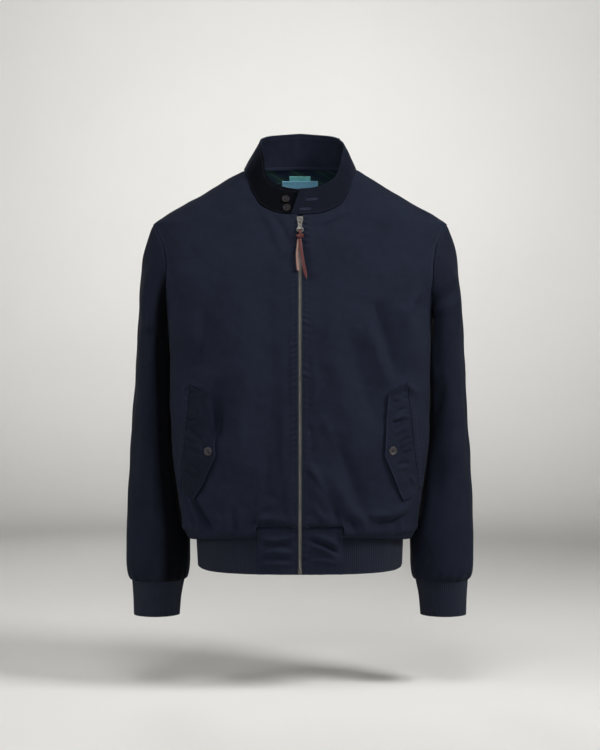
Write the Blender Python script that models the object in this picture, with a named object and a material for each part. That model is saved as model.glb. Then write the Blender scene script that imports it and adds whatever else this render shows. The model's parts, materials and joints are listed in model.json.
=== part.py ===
"""Harrington jacket, filled out as worn with no wearer: cloth walls, ribs, zip, buttons and thong.

Metres, +Z up. The front faces -Y and +X is the viewer's right, which is the wearer's left.
The origin is the middle of the neck base, level with the inner ends of the shoulder seams.
"""

import math

import bmesh
import bpy
import numpy as np
from mathutils import Matrix, Vector

# Cloth and clearances
TWILL = 0.0015
RIB_KNIT = 0.0025
COLLAR_CLOTH = 0.003
FLAP_CLOTH = 0.0018
TAB_CLOTH = 0.0018
TAPE = 0.001
LABEL = 0.001
GAP = 0.0003

# The body's outer face, one row for each level down the cloth. Depths run from the middle line.
# "square" is how squared the section is: 2 is an ellipse. "lift" is how much higher the front
# and back hang than the sides, where the cloth blouses over the rib.
BODY_COLUMNS = (
    "level", "z", "half_width", "front", "back", "front_square", "back_square", "middle", "lift",
)
BODY = (
    (0.012, 0.012, 0.071, 0.0550, 0.0500, 2.00, 2.00, 0.000, 0.0),
    (0.000, 0.000, 0.091, 0.0620, 0.0580, 2.00, 2.00, 0.000, 0.0),
    (-0.020, -0.020, 0.1260, 0.0735, 0.0700, 2.00, 2.00, 0.001, 0.0),
    (-0.050, -0.050, 0.1765, 0.0850, 0.0860, 2.05, 2.00, 0.002, 0.0),
    (-0.080, -0.080, 0.2275, 0.0950, 0.1000, 2.10, 2.10, 0.003, 0.0),
    (-0.094, -0.094, 0.2455, 0.0995, 0.1060, 2.15, 2.15, 0.003, 0.0),
    (-0.120, -0.120, 0.2480, 0.1070, 0.1150, 2.25, 2.20, 0.002, 0.0),
    (-0.170, -0.170, 0.2430, 0.1190, 0.1260, 2.35, 2.25, -0.001, 0.0),
    (-0.240, -0.240, 0.2200, 0.1300, 0.1340, 2.40, 2.30, -0.006, 0.0),
    (-0.300, -0.300, 0.2160, 0.1350, 0.1360, 2.45, 2.30, -0.010, 0.0),
    (-0.380, -0.380, 0.2150, 0.1360, 0.1330, 2.45, 2.30, -0.012, 0.0),
    (-0.450, -0.450, 0.2130, 0.1360, 0.1290, 2.45, 2.30, -0.012, 0.0),
    (-0.520, -0.520, 0.2045, 0.1355, 0.1260, 2.40, 2.30, -0.010, 0.0),
    (-0.565, -0.565, 0.1980, 0.1335, 0.1240, 2.40, 2.30, -0.008, 0.0),
    (-0.588, -0.588, 0.1935, 0.1310, 0.1215, 2.40, 2.30, -0.006, 0.0),
    (-0.600, -0.603, 0.1890, 0.1275, 0.1185, 2.40, 2.30, -0.006, 0.007),
    (-0.610, -0.612, 0.1825, 0.1230, 0.1145, 2.40, 2.30, -0.006, 0.0125),
    (-0.618, -0.6125, 0.1765, 0.1200, 0.1115, 2.40, 2.30, -0.006, 0.014),
    (-0.626, -0.604, 0.1735, 0.1185, 0.1095, 2.40, 2.30, -0.006, 0.005),
)

# The rib hem band below the body, on the same kind of section.
RIB = (
    (-0.6043, -0.6043, 0.1715, 0.1175, 0.1080, 2.40, 2.30, -0.006, 0.005),
    (-0.630, -0.630, 0.1705, 0.1165, 0.1065, 2.40, 2.30, -0.006, 0.0),
    (-0.661, -0.661, 0.1690, 0.1150, 0.1050, 2.40, 2.30, -0.006, 0.0),
)
RIB_BOTTOM = RIB[-1][0]

# The hem tab's face, between the front panel's edge and the rib's lower edge.
TAB = (
    (-0.5838, -0.5838, 0.1943, 0.1314, 0.1215, 2.40, 2.30, -0.006, 0.0),
    (-0.6100, -0.6100, 0.1850, 0.1255, 0.1150, 2.40, 2.30, -0.006, 0.0),
    (-0.6350, -0.6350, 0.1750, 0.1205, 0.1100, 2.40, 2.30, -0.006, 0.0),
    (-0.6610, -0.6610, 0.1690, 0.1150, 0.1050, 2.40, 2.30, -0.006, 0.0),
)
TAB_TOP = -0.5835
TAB_WIDTH = 0.069

# The neckline on the body's face: turn from the centre front in degrees, and height.
NECK_COLUMNS = ("turn", "z")
NECK = (
    (0.0, -0.0835),
    (6.5, -0.0820),
    (17.0, -0.0690),
    (25.0, -0.0500),
    (42.0, -0.0210),
    (65.0, -0.0060),
    (90.0, 0.0000),
    (135.0, 0.0065),
    (180.0, 0.0100),
)
FRONT_NECK = NECK[0][1]
BACK_NECK = NECK[-1][1]
TILT_FROM = -0.35

# The armhole: an upright oval around the side line, wider in turn at the back.
ARMHOLE_TOP = -0.094
ARMHOLE_BOTTOM = -0.240
ARMHOLE_FRONT = math.radians(28)
ARMHOLE_BACK = math.radians(36)
ARMHOLE_MIDDLE = (ARMHOLE_TOP + ARMHOLE_BOTTOM) / 2
ARMHOLE_HALF = (ARMHOLE_TOP - ARMHOLE_BOTTOM) / 2

# The sleeve, one row for each ring: its outer and inner point, depth and middle.
# The rings fan from the armhole down to level ones.
SLEEVE_COLUMNS = ("ring", "outer_x", "outer_z", "inner_x", "inner_z", "half_depth", "middle")
SLEEVE = (
    (0, 0.2462, -0.0950, 0.2180, -0.2390, 0.064, 0.007),
    (1, 0.2555, -0.1180, 0.2150, -0.2450, 0.068, 0.010),
    (2, 0.2630, -0.1480, 0.2110, -0.2530, 0.073, 0.014),
    (3, 0.2675, -0.1850, 0.2070, -0.2650, 0.077, 0.019),
    (4, 0.2710, -0.2250, 0.2040, -0.2820, 0.080, 0.024),
    (5, 0.2740, -0.2700, 0.2020, -0.3060, 0.081, 0.028),
    (6, 0.2775, -0.3200, 0.2010, -0.3400, 0.080, 0.031),
    (7, 0.2805, -0.3700, 0.2000, -0.3800, 0.078, 0.032),
    (8, 0.2835, -0.4200, 0.1985, -0.4240, 0.075, 0.031),
    (9, 0.2858, -0.4700, 0.1960, -0.4700, 0.071, 0.028),
    (10, 0.2875, -0.5200, 0.1920, -0.5200, 0.067, 0.023),
    (11, 0.2895, -0.5700, 0.1870, -0.5700, 0.062, 0.017),
    (12, 0.2905, -0.6150, 0.1835, -0.6150, 0.058, 0.012),
    (13, 0.2900, -0.6450, 0.1835, -0.6450, 0.056, 0.010),
    (14, 0.2885, -0.6650, 0.1850, -0.6650, 0.053, 0.009),
    (15, 0.2850, -0.6780, 0.1885, -0.6780, 0.048, 0.008),
    (16, 0.2810, -0.6825, 0.1925, -0.6825, 0.044, 0.008),
)
CUFF_COLUMNS = ("z", "outer_x", "inner_x", "half_depth", "middle")
CUFF = (
    (-0.6828, 0.2805, 0.1930, 0.0435, 0.008),
    (-0.7120, 0.2785, 0.1985, 0.0405, 0.008),
    (-0.7410, 0.2775, 0.2010, 0.0395, 0.008),
)
SLEEVE_CLEAR = 0.0036

# The collar stand over the neckline: turn from the centre back in degrees, lean inwards on each
# side and rise. The far rows reach past the centre front, where the ends overlap.
COLLAR_COLUMNS = ("turn", "lean_left", "lean_right", "rise")
COLLAR = (
    (0.0, 0.008, 0.008, 0.0560),
    (45.0, 0.014, 0.013, 0.0540),
    (90.0, 0.027, 0.025, 0.0500),
    (120.0, 0.028, 0.018, 0.0455),
    (145.0, 0.025, 0.015, 0.0430),
    (165.0, 0.018, 0.014, 0.0415),
    (195.0, 0.014, 0.012, 0.0410),
)
COLLAR_UNDER_END = 183.0
COLLAR_OVER_END = 183.7
COLLAR_OVER_SLANT = 3.7
COLLAR_LAP = 0.0045
COLLAR_SEAM = 0.0016
COLLAR_LAP_FROM = 150.0
COLLAR_LAP_TO = 174.0
COLLAR_BUTTONS = {"top": (-0.0228, -0.0575), "low": (-0.0214, -0.0722)}
COLLAR_BUTTON_RADIUS = 0.0066

# The largest folds on the fronts: x and z of the first end and of the last, half width, and
# height, which is below zero in a trough.
FOLDS = (
    (-0.166, -0.150, -0.158, -0.340, 0.022, 0.0035),
    (-0.150, -0.340, -0.150, -0.420, 0.020, -0.0040),
    (-0.175, -0.545, -0.150, -0.600, 0.016, 0.0035),
    (0.118, -0.225, 0.142, -0.380, 0.022, -0.0035),
    (0.065, -0.360, 0.150, -0.560, 0.024, -0.0030),
    (0.015, -0.460, 0.070, -0.590, 0.018, 0.0030),
    (0.170, -0.255, 0.150, -0.330, 0.020, 0.0030),
)

# Pocket flaps, corners on the front: seam top and bottom, upper corner, point and lower tip.
FLAP_COLUMNS = ("seam_top", "seam_low", "corner", "point", "tip")
FLAPS = {
    "left": (
        (-0.1745, -0.3583), (-0.1915, -0.5290), (-0.1445, -0.3760), (-0.1320, -0.4695), (-0.1673, -0.5445),
    ),
    "right": (
        (0.1696, -0.3546), (0.1914, -0.5300), (0.1400, -0.3720), (0.1335, -0.4695), (0.1624, -0.5425),
    ),
}
FLAP_LIFT = 0.0012
FLAP_BUTTONS = {"left": (-0.1436, -0.463), "right": (0.1458, -0.4625)}
BUTTON_RADIUS = 0.0069
BUTTON_THICK = 0.0026

# The zip: metal chain between the fronts, tapes behind them, slider, hanging pull and thong.
CHAIN_WIDTH = 0.0060
CHAIN_THICK = 0.0025
CHAIN_PROUD = 0.0006
FRONT_EDGE = 0.0040
TAPE_WIDTH = 0.0150
TAPE_DEEP = 0.0022
ZIP_TOP = -0.0855
SLIDER_TOP = 0.0085
SLIDER_LOW = 0.0055
SLIDER_WIDE = 0.0100
SLIDER_NARROW = 0.0080
SLIDER_THICK = 0.0018
# Heights of the plate's wide part, then the crown: its post, how far its feet stand in the plate,
# the flat of its back, and the run down to its tail as (along, out) pairs.
SLIDER_SHOULDERS = (0.45 * SLIDER_TOP, 0.85 * SLIDER_TOP)
CROWN_WIDE = 0.0022
CROWN_THICK = 0.0010
CROWN_POST = 0.0012
CROWN_SUNK = 0.0006
CROWN_BACK_TOP = 0.0010
CROWN_TAIL = (
    (0.0040, 0.0012), (0.0062, -0.0003), (0.0066, -0.00185), (0.0052, -0.00185), (0.0050, -0.0006),
    (0.0032, 0.0004),
)
CROWN_BACK_LOW = 0.0008
PULL_HEIGHT = -0.0945
PULL_SLOPE = math.radians(17)
PULL_THICK = 0.0016
PULL_LONG = 0.0195
PULL_WIDE = 0.0115
PULL_NECK = 0.0054
# The pull's side as shares of the neck's and of the foot's half width, and of the length.
PULL_SHAPE = ((1.0, 0.32), (1.25, 0.52))
PULL_FOOT = ((1.0, 0.74), (1.0, 0.90), (0.70, 1.0))
PULL_EYE = (0.0030, 0.0042)
PULL_SLOT = (0.0070, 0.0024)
PULL_SLOT_FLOOR = 0.0016
PULL_HOLE_DOWN = 0.50
PULL_PLAY = 0.00045
PULL_HOLE_RADIUS = 0.0007
KNOT_SIZE = (0.0140, 0.0070, 0.0098)
THONG_RADIUS = 0.0018
THONG_PROUD = 0.0031
THONG_COLUMNS = ("z", "x")
THONG_TAILS = {
    "left": (
        (-0.1252, -0.0032), (-0.1350, -0.0042), (-0.1490, -0.0052), (-0.1630, -0.0042), (-0.1755, -0.0026),
    ),
    "right": (
        (-0.1252, 0.0008), (-0.1350, 0.0018), (-0.1500, 0.0036), (-0.1710, 0.0068), (-0.1885, 0.0106),
    ),
}

# Labels and the lining that shows inside the neck.
LINING_TURN = 84.0
LINING_DEEP = -0.075
LINING_CLEAR = 0.0016
LABEL_SIZE = (0.063, 0.026)
LABEL_TOP = -0.0085
LABEL_CLEAR = 0.0005
SIZE_TAB_SIZE = (0.037, 0.0115)
SIZE_TAB_TOP = -0.0015

# Levels down the side edge of a panel, and places across a front from zip to side.
SHOULDER_LEVELS = (-0.010, -0.022, -0.036, -0.052, -0.068, -0.082)
SIDE_LEVELS = (-0.268, -0.302, -0.338, -0.375, -0.413, -0.451, -0.489, -0.527, -0.562)
BLOUSE_LEVELS = (-0.588, -0.600, -0.610, -0.618, -0.626)
ARMHOLE_STEPS = 8
FRONT_ACROSS = (0.0, 0.075, 0.15, 0.227, 0.233, 0.36, 0.49, 0.62, 0.75, 0.875, 1.0)
TAB_ACROSS = 0.23
BACK_COLUMNS_COUNT = 17
SEAM_FORWARD = math.radians(6)
TABLE_MARGIN = 0.001


def column(rows, columns, name, at):
    """One column of a table as a smooth curve, read at values of the table's first column."""
    order = sorted(rows)
    knots = np.array([row[0] for row in order], float)
    values = np.array([row[columns.index(name)] for row in order], float)
    steps = np.diff(knots)
    rises = np.diff(values) / steps
    before, after = rises[:-1], rises[1:]
    total = np.where(before * after > 0, before + after, 1.0)
    inner = np.where(before * after > 0, 2 * before * after / total, 0.0)
    slopes = np.concatenate([rises[:1], inner, rises[-1:]])
    at = np.clip(np.asarray(at, float), knots[0] - TABLE_MARGIN, knots[-1] + TABLE_MARGIN)
    i = np.clip(np.searchsorted(knots, at, side="right") - 1, 0, len(knots) - 2)
    f = (at - knots[i]) / steps[i]
    start = (1 + 2 * f) * (1 - f) ** 2 * values[i] + f * (1 - f) ** 2 * steps[i] * slopes[i]
    end = f * f * (3 - 2 * f) * values[i + 1] - f * f * (1 - f) * steps[i] * slopes[i + 1]
    return start + end


def smooth_step(value, low, high):
    """0 below low, 1 above high, and a soft rise between."""
    part = np.clip((np.asarray(value, float) - low) / (high - low), 0, 1)
    return part * part * (3 - 2 * part)


def section(rows, turn, level):
    """A body-like face. The turn runs from the centre front (0) past +X (a quarter)."""
    turn, level = np.broadcast_arrays(turn, level)
    read = {name: column(rows, BODY_COLUMNS, name, level) for name in BODY_COLUMNS[1:]}
    sine, cosine = np.sin(turn), np.cos(turn)
    depth = np.where(cosine > 0, read["front"], read["back"])
    square = np.where(cosine > 0, read["front_square"], read["back_square"])
    reach = (np.abs(sine) ** square + np.abs(cosine) ** square) ** (-1 / square)
    x = read["half_width"] * sine * reach
    y = read["middle"] - depth * cosine * reach
    z = read["z"] + read["lift"] * cosine**2
    return np.stack([x, y, z], -1)


def turn_at(rows, x, level):
    """The turn at which a face's front passes a given x."""
    share = np.clip(np.abs(x) / column(rows, BODY_COLUMNS, "half_width", level), 0, 0.9999)
    square = column(rows, BODY_COLUMNS, "front_square", level)
    return np.sign(x) * np.arctan2(share, (1 - share**square) ** (1 / square))


def normals(face, across, along):
    """Unit normals of a face by small steps, on the side where `across` x `along` points."""
    step = 2e-4
    one = face(across + step, along) - face(across - step, along)
    two = face(across, along + step) - face(across, along - step)
    cross = np.cross(one, two)
    return cross / np.linalg.norm(cross, axis=-1, keepdims=True)


def fold_height(x, z):
    """How far the large folds lift the fronts at a place."""
    height = np.zeros_like(x)
    for x0, z0, x1, z1, half_width, rise in FOLDS:
        run_x, run_z = x1 - x0, z1 - z0
        long = math.hypot(run_x, run_z)
        along = ((x - x0) * run_x + (z - z0) * run_z) / long**2
        beside = ((x - x0) * run_z - (z - z0) * run_x) / long
        ends = smooth_step(4 * along * (1 - along), 0, 1)
        height += rise * np.exp(-((beside / half_width) ** 2)) * ends
    return height


def plain_body(turn, level):
    """The body's outer face without its folds."""
    return section(BODY, turn, level)


def hem_rib_face(turn, level):
    return section(RIB, turn, level)


def hem_tab_face(turn, level):
    return section(TAB, turn, level)


def body(turn, level):
    """The body's outer face with its large folds."""
    turn, level = np.broadcast_arrays(turn, level)
    plain = plain_body(turn, level)
    rise = np.where(np.cos(turn) > 0, fold_height(plain[..., 0], plain[..., 2]), 0.0)
    return plain + normals(plain_body, turn, level) * rise[..., None]


def neck_height(turn):
    """The neckline's height at a turn from the centre front."""
    wrapped = np.abs((np.asarray(turn) + math.pi) % math.tau - math.pi)
    return column(NECK, NECK_COLUMNS, "z", np.degrees(wrapped))


def armhole(around):
    """Turn and level of the armhole at angles from the underarm (0) past the front."""
    sine, cosine = np.sin(around), np.cos(around)
    wide = np.where(sine > 0, ARMHOLE_FRONT, ARMHOLE_BACK)
    turn = math.pi / 2 - SEAM_FORWARD * (1 - cosine) / 2 - wide * sine
    return turn, ARMHOLE_MIDDLE - ARMHOLE_HALF * cosine


def side_levels():
    """Levels of the side edge from the hem up to the neck, and how far each opens the armhole."""
    angles = np.arange(ARMHOLE_STEPS + 1) * math.pi / ARMHOLE_STEPS
    below = list(reversed(BLOUSE_LEVELS)) + list(reversed(SIDE_LEVELS))
    above = list(reversed(SHOULDER_LEVELS)) + [neck_height(math.pi / 2 - SEAM_FORWARD)]
    levels = np.array(below + list(ARMHOLE_MIDDLE - ARMHOLE_HALF * np.cos(angles)) + above)
    around = np.concatenate([np.zeros(len(below)), angles, np.full(len(above), math.pi)])
    return levels, around


def half_gap_turn(level):
    """Half a seam gap as a turn at the side of the body."""
    return GAP / 2 / column(BODY, BODY_COLUMNS, "front", level)


def tilted(level, neck):
    """The level in the middle of a panel: near the neck it leans towards the neckline."""
    top = neck_height(math.pi / 2 - SEAM_FORWARD)
    share = (level - TILT_FROM) / (top - TILT_FROM)
    return np.where(level > TILT_FROM, TILT_FROM + share * (neck - TILT_FROM), level)


def front_grid():
    """Turns and levels of the viewer's-right front, rows up from the hem, columns from the zip."""
    side, around = side_levels()
    edge = armhole(around)[0] - half_gap_turn(side)
    across = np.array(FRONT_ACROSS)
    zip_turn = turn_at(BODY, FRONT_EDGE, tilted(side, FRONT_NECK))
    tab_turn = turn_at(BODY, TAB_WIDTH, np.minimum(side, TILT_FROM))
    even_turn = zip_turn + (edge - zip_turn) * TAB_ACROSS
    tab_turn = tab_turn + (even_turn - tab_turn) * smooth_step(side, TILT_FROM, ARMHOLE_BOTTOM)
    inner = zip_turn[:, None] + (tab_turn - zip_turn)[:, None] * across / TAB_ACROSS
    outer = tab_turn[:, None] + (edge - tab_turn)[:, None] * (across - TAB_ACROSS) / (1 - TAB_ACROSS)
    turn = np.where(across < TAB_ACROSS, inner, outer)
    top = neck_height(math.pi / 2 - SEAM_FORWARD)
    towards_side = (neck_height(turn) - FRONT_NECK) / (top - FRONT_NECK)
    middle = tilted(side, FRONT_NECK)[:, None]
    level = middle + (side[:, None] - middle) * towards_side
    level[:, -1] = side
    level[-1] = neck_height(turn[-1])
    rows = len(BLOUSE_LEVELS)
    over_tab = TAB_TOP + (SIDE_LEVELS[-1] - TAB_TOP) * np.arange(rows) / rows
    level[:rows] = np.where(across < TAB_ACROSS, over_tab[:, None], level[:rows])
    return turn, level


def back_grid():
    """Turns and levels of the back, rows up from the hem, columns from the viewer's right."""
    side, around = side_levels()
    edge = armhole(-around)[0] + half_gap_turn(side)
    edge = np.where(around >= math.pi, math.pi / 2 - SEAM_FORWARD + half_gap_turn(side), edge)
    across = np.linspace(-1, 1, BACK_COLUMNS_COUNT)
    turn = math.pi + (math.pi - edge)[:, None] * across
    top = neck_height(math.pi / 2 - SEAM_FORWARD)
    towards_side = (neck_height(turn) - BACK_NECK) / (top - BACK_NECK)
    middle = tilted(side, BACK_NECK)[:, None]
    level = middle + (side[:, None] - middle) * towards_side
    level[:, 0] = side
    level[:, -1] = side
    level[-1] = neck_height(turn[-1])
    return turn, level


def sleeve_plain(around, ring):
    """The sleeve's rings as plain ovals."""
    read = {name: column(SLEEVE, SLEEVE_COLUMNS, name, ring) for name in SLEEVE_COLUMNS[1:]}
    sine, cosine = np.sin(around), np.cos(around)
    x = (read["outer_x"] + read["inner_x"]) / 2 - (read["outer_x"] - read["inner_x"]) / 2 * cosine
    z = (read["outer_z"] + read["inner_z"]) / 2 - (read["outer_z"] - read["inner_z"]) / 2 * cosine
    y = read["middle"] - read["half_depth"] * sine
    return np.stack([x, y, z], -1)


def body_side(y, z):
    """The body's x at the side, at a depth and height."""
    read = {name: column(BODY, BODY_COLUMNS, name, z) for name in BODY_COLUMNS[1:]}
    behind = y > read["middle"]
    depth = np.where(behind, read["back"], read["front"])
    square = np.where(behind, read["back_square"], read["front_square"])
    share = np.clip(np.abs(y - read["middle"]) / depth, 0, 1)
    return read["half_width"] * (1 - share**square) ** (1 / square)


def sleeve(around, ring):
    """The right sleeve's outer face: it starts on the armhole and stays clear of the body."""
    around, ring = np.broadcast_arrays(around, ring)
    plain = sleeve_plain(around, ring)
    turn, level = armhole(around)
    seam = section(BODY, turn, level) - sleeve_plain(around, 0.0)
    points = plain + seam * (1 - smooth_step(ring, 0, 4))[..., None]
    clear = body_side(points[..., 1], points[..., 2]) + SLEEVE_CLEAR * np.clip(ring, 0, 1)
    apart = points[..., 0] - clear
    pushed = clear + (apart + np.sqrt(apart**2 + 0.003**2)) / 2
    inboard = smooth_step(np.cos(around), -0.2, 0.2) * smooth_step(ring, 0, 1.5)
    points[..., 0] += (pushed - points[..., 0]) * inboard
    return points


def cuff(around, z):
    """The right cuff's outer face."""
    around, z = np.broadcast_arrays(around, z)
    read = {name: column(CUFF, CUFF_COLUMNS, name, z) for name in CUFF_COLUMNS[1:]}
    half = (read["outer_x"] - read["inner_x"]) / 2
    x = read["outer_x"] - half - half * np.cos(around)
    y = read["middle"] - read["half_depth"] * np.sin(around)
    return np.stack([x, y, z], -1)


def collar(turn, height):
    """The collar's outer face: turn from the centre back in degrees, height from 0 to 1."""
    turn, height = np.broadcast_arrays(turn, height)

    def base(at):
        angle = math.pi - np.radians(at)
        return section(BODY, angle, neck_height(angle))

    run = base(turn + 0.5) - base(turn - 0.5)
    flat = run / np.linalg.norm(run[..., :2], axis=-1, keepdims=True)
    inward = np.stack([flat[..., 1], -flat[..., 0], np.zeros_like(turn)], -1)
    size = np.abs(turn)
    left = column(COLLAR, COLLAR_COLUMNS, "lean_left", size)
    right = column(COLLAR, COLLAR_COLUMNS, "lean_right", size)
    lean = np.where(turn < 0, left, right) * height
    lap = COLLAR_LAP * smooth_step(-turn, COLLAR_LAP_FROM, COLLAR_LAP_TO)
    bulge = 0.0015 * np.sin(math.pi * height)
    rise = column(COLLAR, COLLAR_COLUMNS, "rise", size) * height + COLLAR_SEAM
    points = base(turn) + inward * (lean + lap - bulge)[..., None]
    points[..., 2] += rise
    return points


def collar_turns(count, height):
    """Turns spaced evenly along the neckline, the over end slanting with the height."""
    fine = np.linspace(-COLLAR_UNDER_END, COLLAR_OVER_END, 721)
    angle = math.pi - np.radians(fine)
    line = section(BODY, angle, neck_height(angle))
    length = np.concatenate([[0], np.cumsum(np.linalg.norm(np.diff(line, axis=0), axis=1))])
    turns = np.interp(np.linspace(0, length[-1], count), length, fine)
    slant = COLLAR_OVER_SLANT * smooth_step(turns, COLLAR_LAP_FROM, COLLAR_OVER_END)
    return turns[None, :] - slant[None, :] * height[:, None]


def material(name, colour, roughness, metallic=0.0):
    """A plain finish for one sub-part."""
    made = bpy.data.materials.new(name)
    made.use_nodes = True
    shader = made.node_tree.nodes["Principled BSDF"]
    shader.inputs["Base Color"].default_value = (*colour, 1.0)
    shader.inputs["Roughness"].default_value = roughness
    shader.inputs["Metallic"].default_value = metallic
    return made


def add_mesh(name, points, faces, finish):
    """One named object from points and faces, its faces turned outwards."""
    mesh = bpy.data.meshes.new(name)
    mesh.from_pydata([tuple(map(float, point)) for point in points], [], faces)
    work = bmesh.new()
    work.from_mesh(mesh)
    bmesh.ops.recalc_face_normals(work, faces=work.faces)
    work.to_mesh(mesh)
    work.free()
    mesh.shade_smooth()
    mesh.set_sharp_from_angle(angle=math.radians(40))
    mesh.materials.append(finish)
    made = bpy.data.objects.new(name, mesh)
    bpy.context.scene.collection.objects.link(made)
    return made


def add_wall(name, outer, inner, finish, tube=False):
    """A closed wall between two grids of points; a tube's columns join up all round."""
    rows, columns = outer.shape[:2]
    spans = columns if tube else columns - 1
    points = np.concatenate([outer.reshape(-1, 3), inner.reshape(-1, 3)])
    back = rows * columns

    def at(row, col):
        return row * columns + col % columns

    faces = []
    for row in range(rows - 1):
        for col in range(spans):
            ring = [at(row, col), at(row, col + 1), at(row + 1, col + 1), at(row + 1, col)]
            faces.append(ring)
            faces.append([back + i for i in reversed(ring)])
    for row, other in ((0, 1), (rows - 1, -1)):
        for col in range(spans):
            edge = [at(row, col), at(row, col + 1), back + at(row, col + 1), back + at(row, col)]
            faces.append(edge[::-other])
    if not tube:
        for col, other in ((0, -1), (columns - 1, 1)):
            for row in range(rows - 1):
                edge = [at(row, col), at(row + 1, col), back + at(row + 1, col), back + at(row, col)]
                faces.append(edge[::-other])
    return add_mesh(name, points, faces, finish)


def mirrored(points):
    return points * np.array([-1.0, 1.0, 1.0])


def add_front(side, finish):
    turn, level = front_grid()
    turn = turn if side == "right" else -turn
    outer = body(turn, level)
    inner = outer - normals(body, turn, level) * TWILL
    return add_wall(f"front_{side}", outer, inner, finish)


def add_back(finish):
    turn, level = back_grid()
    outer = body(turn, level)
    inner = outer - normals(body, turn, level) * TWILL
    return add_wall("back", outer, inner, finish)


def add_sleeve(side, finish):
    around = np.arange(2 * ARMHOLE_STEPS) * math.pi / ARMHOLE_STEPS
    around, ring = np.meshgrid(around, np.array([row[0] for row in SLEEVE], float))
    outer = sleeve(around, ring)
    inner = outer + normals(sleeve, around, ring) * TWILL
    if side == "left":
        outer, inner = mirrored(outer), mirrored(inner)
    return add_wall(f"sleeve_{side}", outer, inner, finish, tube=True)


def add_cuff(side, finish):
    around = np.arange(2 * ARMHOLE_STEPS) * math.pi / ARMHOLE_STEPS
    around, z = np.meshgrid(around, np.array([row[0] for row in CUFF]))
    outer = cuff(around, z)
    inner = outer - normals(cuff, around, z) * RIB_KNIT
    if side == "left":
        outer, inner = mirrored(outer), mirrored(inner)
    return add_wall(f"cuff_{side}", outer, inner, finish, tube=True)


def add_hem_rib(finish):
    levels = np.array([row[0] for row in RIB])[:, None]
    start = turn_at(RIB, TAB_WIDTH + GAP, levels)
    turn = start + (math.tau - 2 * start) * np.linspace(0, 1, 37)
    turn, level = np.broadcast_arrays(turn, levels)
    outer = hem_rib_face(turn, level)
    inner = outer - normals(hem_rib_face, turn, level) * RIB_KNIT
    return add_wall("hem_rib", outer, inner, finish)


def add_tab(side, finish):
    levels = np.linspace(TAB[-1][0], TAB[0][0], 5)[:, None]
    across = np.linspace(FRONT_EDGE, TAB_WIDTH - GAP / 2, 6)
    turn = turn_at(TAB, across, levels)
    turn = turn if side == "right" else -turn
    turn, level = np.broadcast_arrays(turn, levels)
    outer = hem_tab_face(turn, level)
    inner = outer - normals(hem_tab_face, turn, level) * TAB_CLOTH
    return add_wall(f"hem_tab_{side}", outer, inner, finish)


def add_collar(finish):
    height = np.linspace(0, 1, 5)
    turn = collar_turns(38, height)
    turn, height = np.broadcast_arrays(turn, height[:, None])
    outer = collar(turn, height)
    inner = outer + normals(collar, turn, height) * COLLAR_CLOTH
    return add_wall("collar", outer, inner, finish)


def on_front(x, z, out):
    """Points over the front's face at given x and z, moved out along its normal."""
    turn = turn_at(BODY, x, z)
    return body(turn, z) + normals(body, turn, z) * np.asarray(out)[..., None]


def flap_places(side):
    """Places of a pocket flap on the front, rows down from its top, columns from its seam."""
    corners = {name: np.array(place) for name, place in zip(FLAP_COLUMNS, FLAPS[side])}
    upper = np.linalg.norm(corners["point"] - corners["corner"])
    lower = np.linalg.norm(corners["tip"] - corners["point"])
    share = upper / (upper + lower)
    down = np.concatenate([np.linspace(0, share, 5), np.linspace(share, 1, 4)[1:]])[:, None]
    seam = corners["seam_top"] + (corners["seam_low"] - corners["seam_top"]) * down
    upper_edge = corners["corner"] + (corners["point"] - corners["corner"]) * down / share
    lower_edge = corners["point"] + (corners["tip"] - corners["point"]) * (down - share) / (1 - share)
    edge = np.where(down < share, upper_edge, lower_edge)
    across = np.linspace(0, 1, 5)
    places = seam[:, None] + (edge - seam)[:, None] * across[:, None]
    return places[..., 0], places[..., 1], across


def add_flap(side, finish):
    x, z, across = flap_places(side)
    lift = FLAP_LIFT * (0.75 + 0.75 * across) + np.zeros_like(x)
    return add_wall(f"pocket_flap_{side}", on_front(x, z, lift + FLAP_CLOTH), on_front(x, z, lift), finish)


def lathe(profile, count):
    """A turned closed solid about Z from (radius, height) pairs, bottom to top."""
    angles = np.arange(count) * math.tau / count
    points = [(r * math.cos(a), r * math.sin(a), h) for r, h in profile for a in angles]
    faces = []
    for ring in range(len(profile) - 1):
        for i in range(count):
            near, far = ring * count + i, ring * count + (i + 1) % count
            faces.append([near, far, far + count, near + count])
    faces.append(list(range(count))[::-1])
    faces.append([(len(profile) - 1) * count + i for i in range(count)])
    return np.array(points), faces


def turned_to(points, centre, out):
    """Points moved so that their Z lies along `out` at a place."""
    out = np.array(out) / np.linalg.norm(out)
    side = np.cross((0.0, 0.0, 1.0), out)
    side /= np.linalg.norm(side)
    return points @ np.array([side, np.cross(out, side), out]) + centre


def add_button(name, centre, out, radius, finish):
    half, soft = BUTTON_THICK / 2, 0.0006
    profile = ((radius - soft, -half), (radius, soft - half), (radius, half - soft), (radius - soft, half))
    points, faces = lathe(profile, 20)
    return add_mesh(name, turned_to(points, centre, out), faces, finish)


def add_flap_button(side, finish):
    x, z = np.array(FLAP_BUTTONS[side][0]), np.array(FLAP_BUTTONS[side][1])
    turn = turn_at(BODY, x, z)
    out = normals(body, turn, z)
    lift = 1.5 * FLAP_LIFT + FLAP_CLOTH + GAP + BUTTON_THICK / 2
    return add_button(f"flap_button_{side}", body(turn, z) + out * lift, out, BUTTON_RADIUS, finish)


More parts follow.
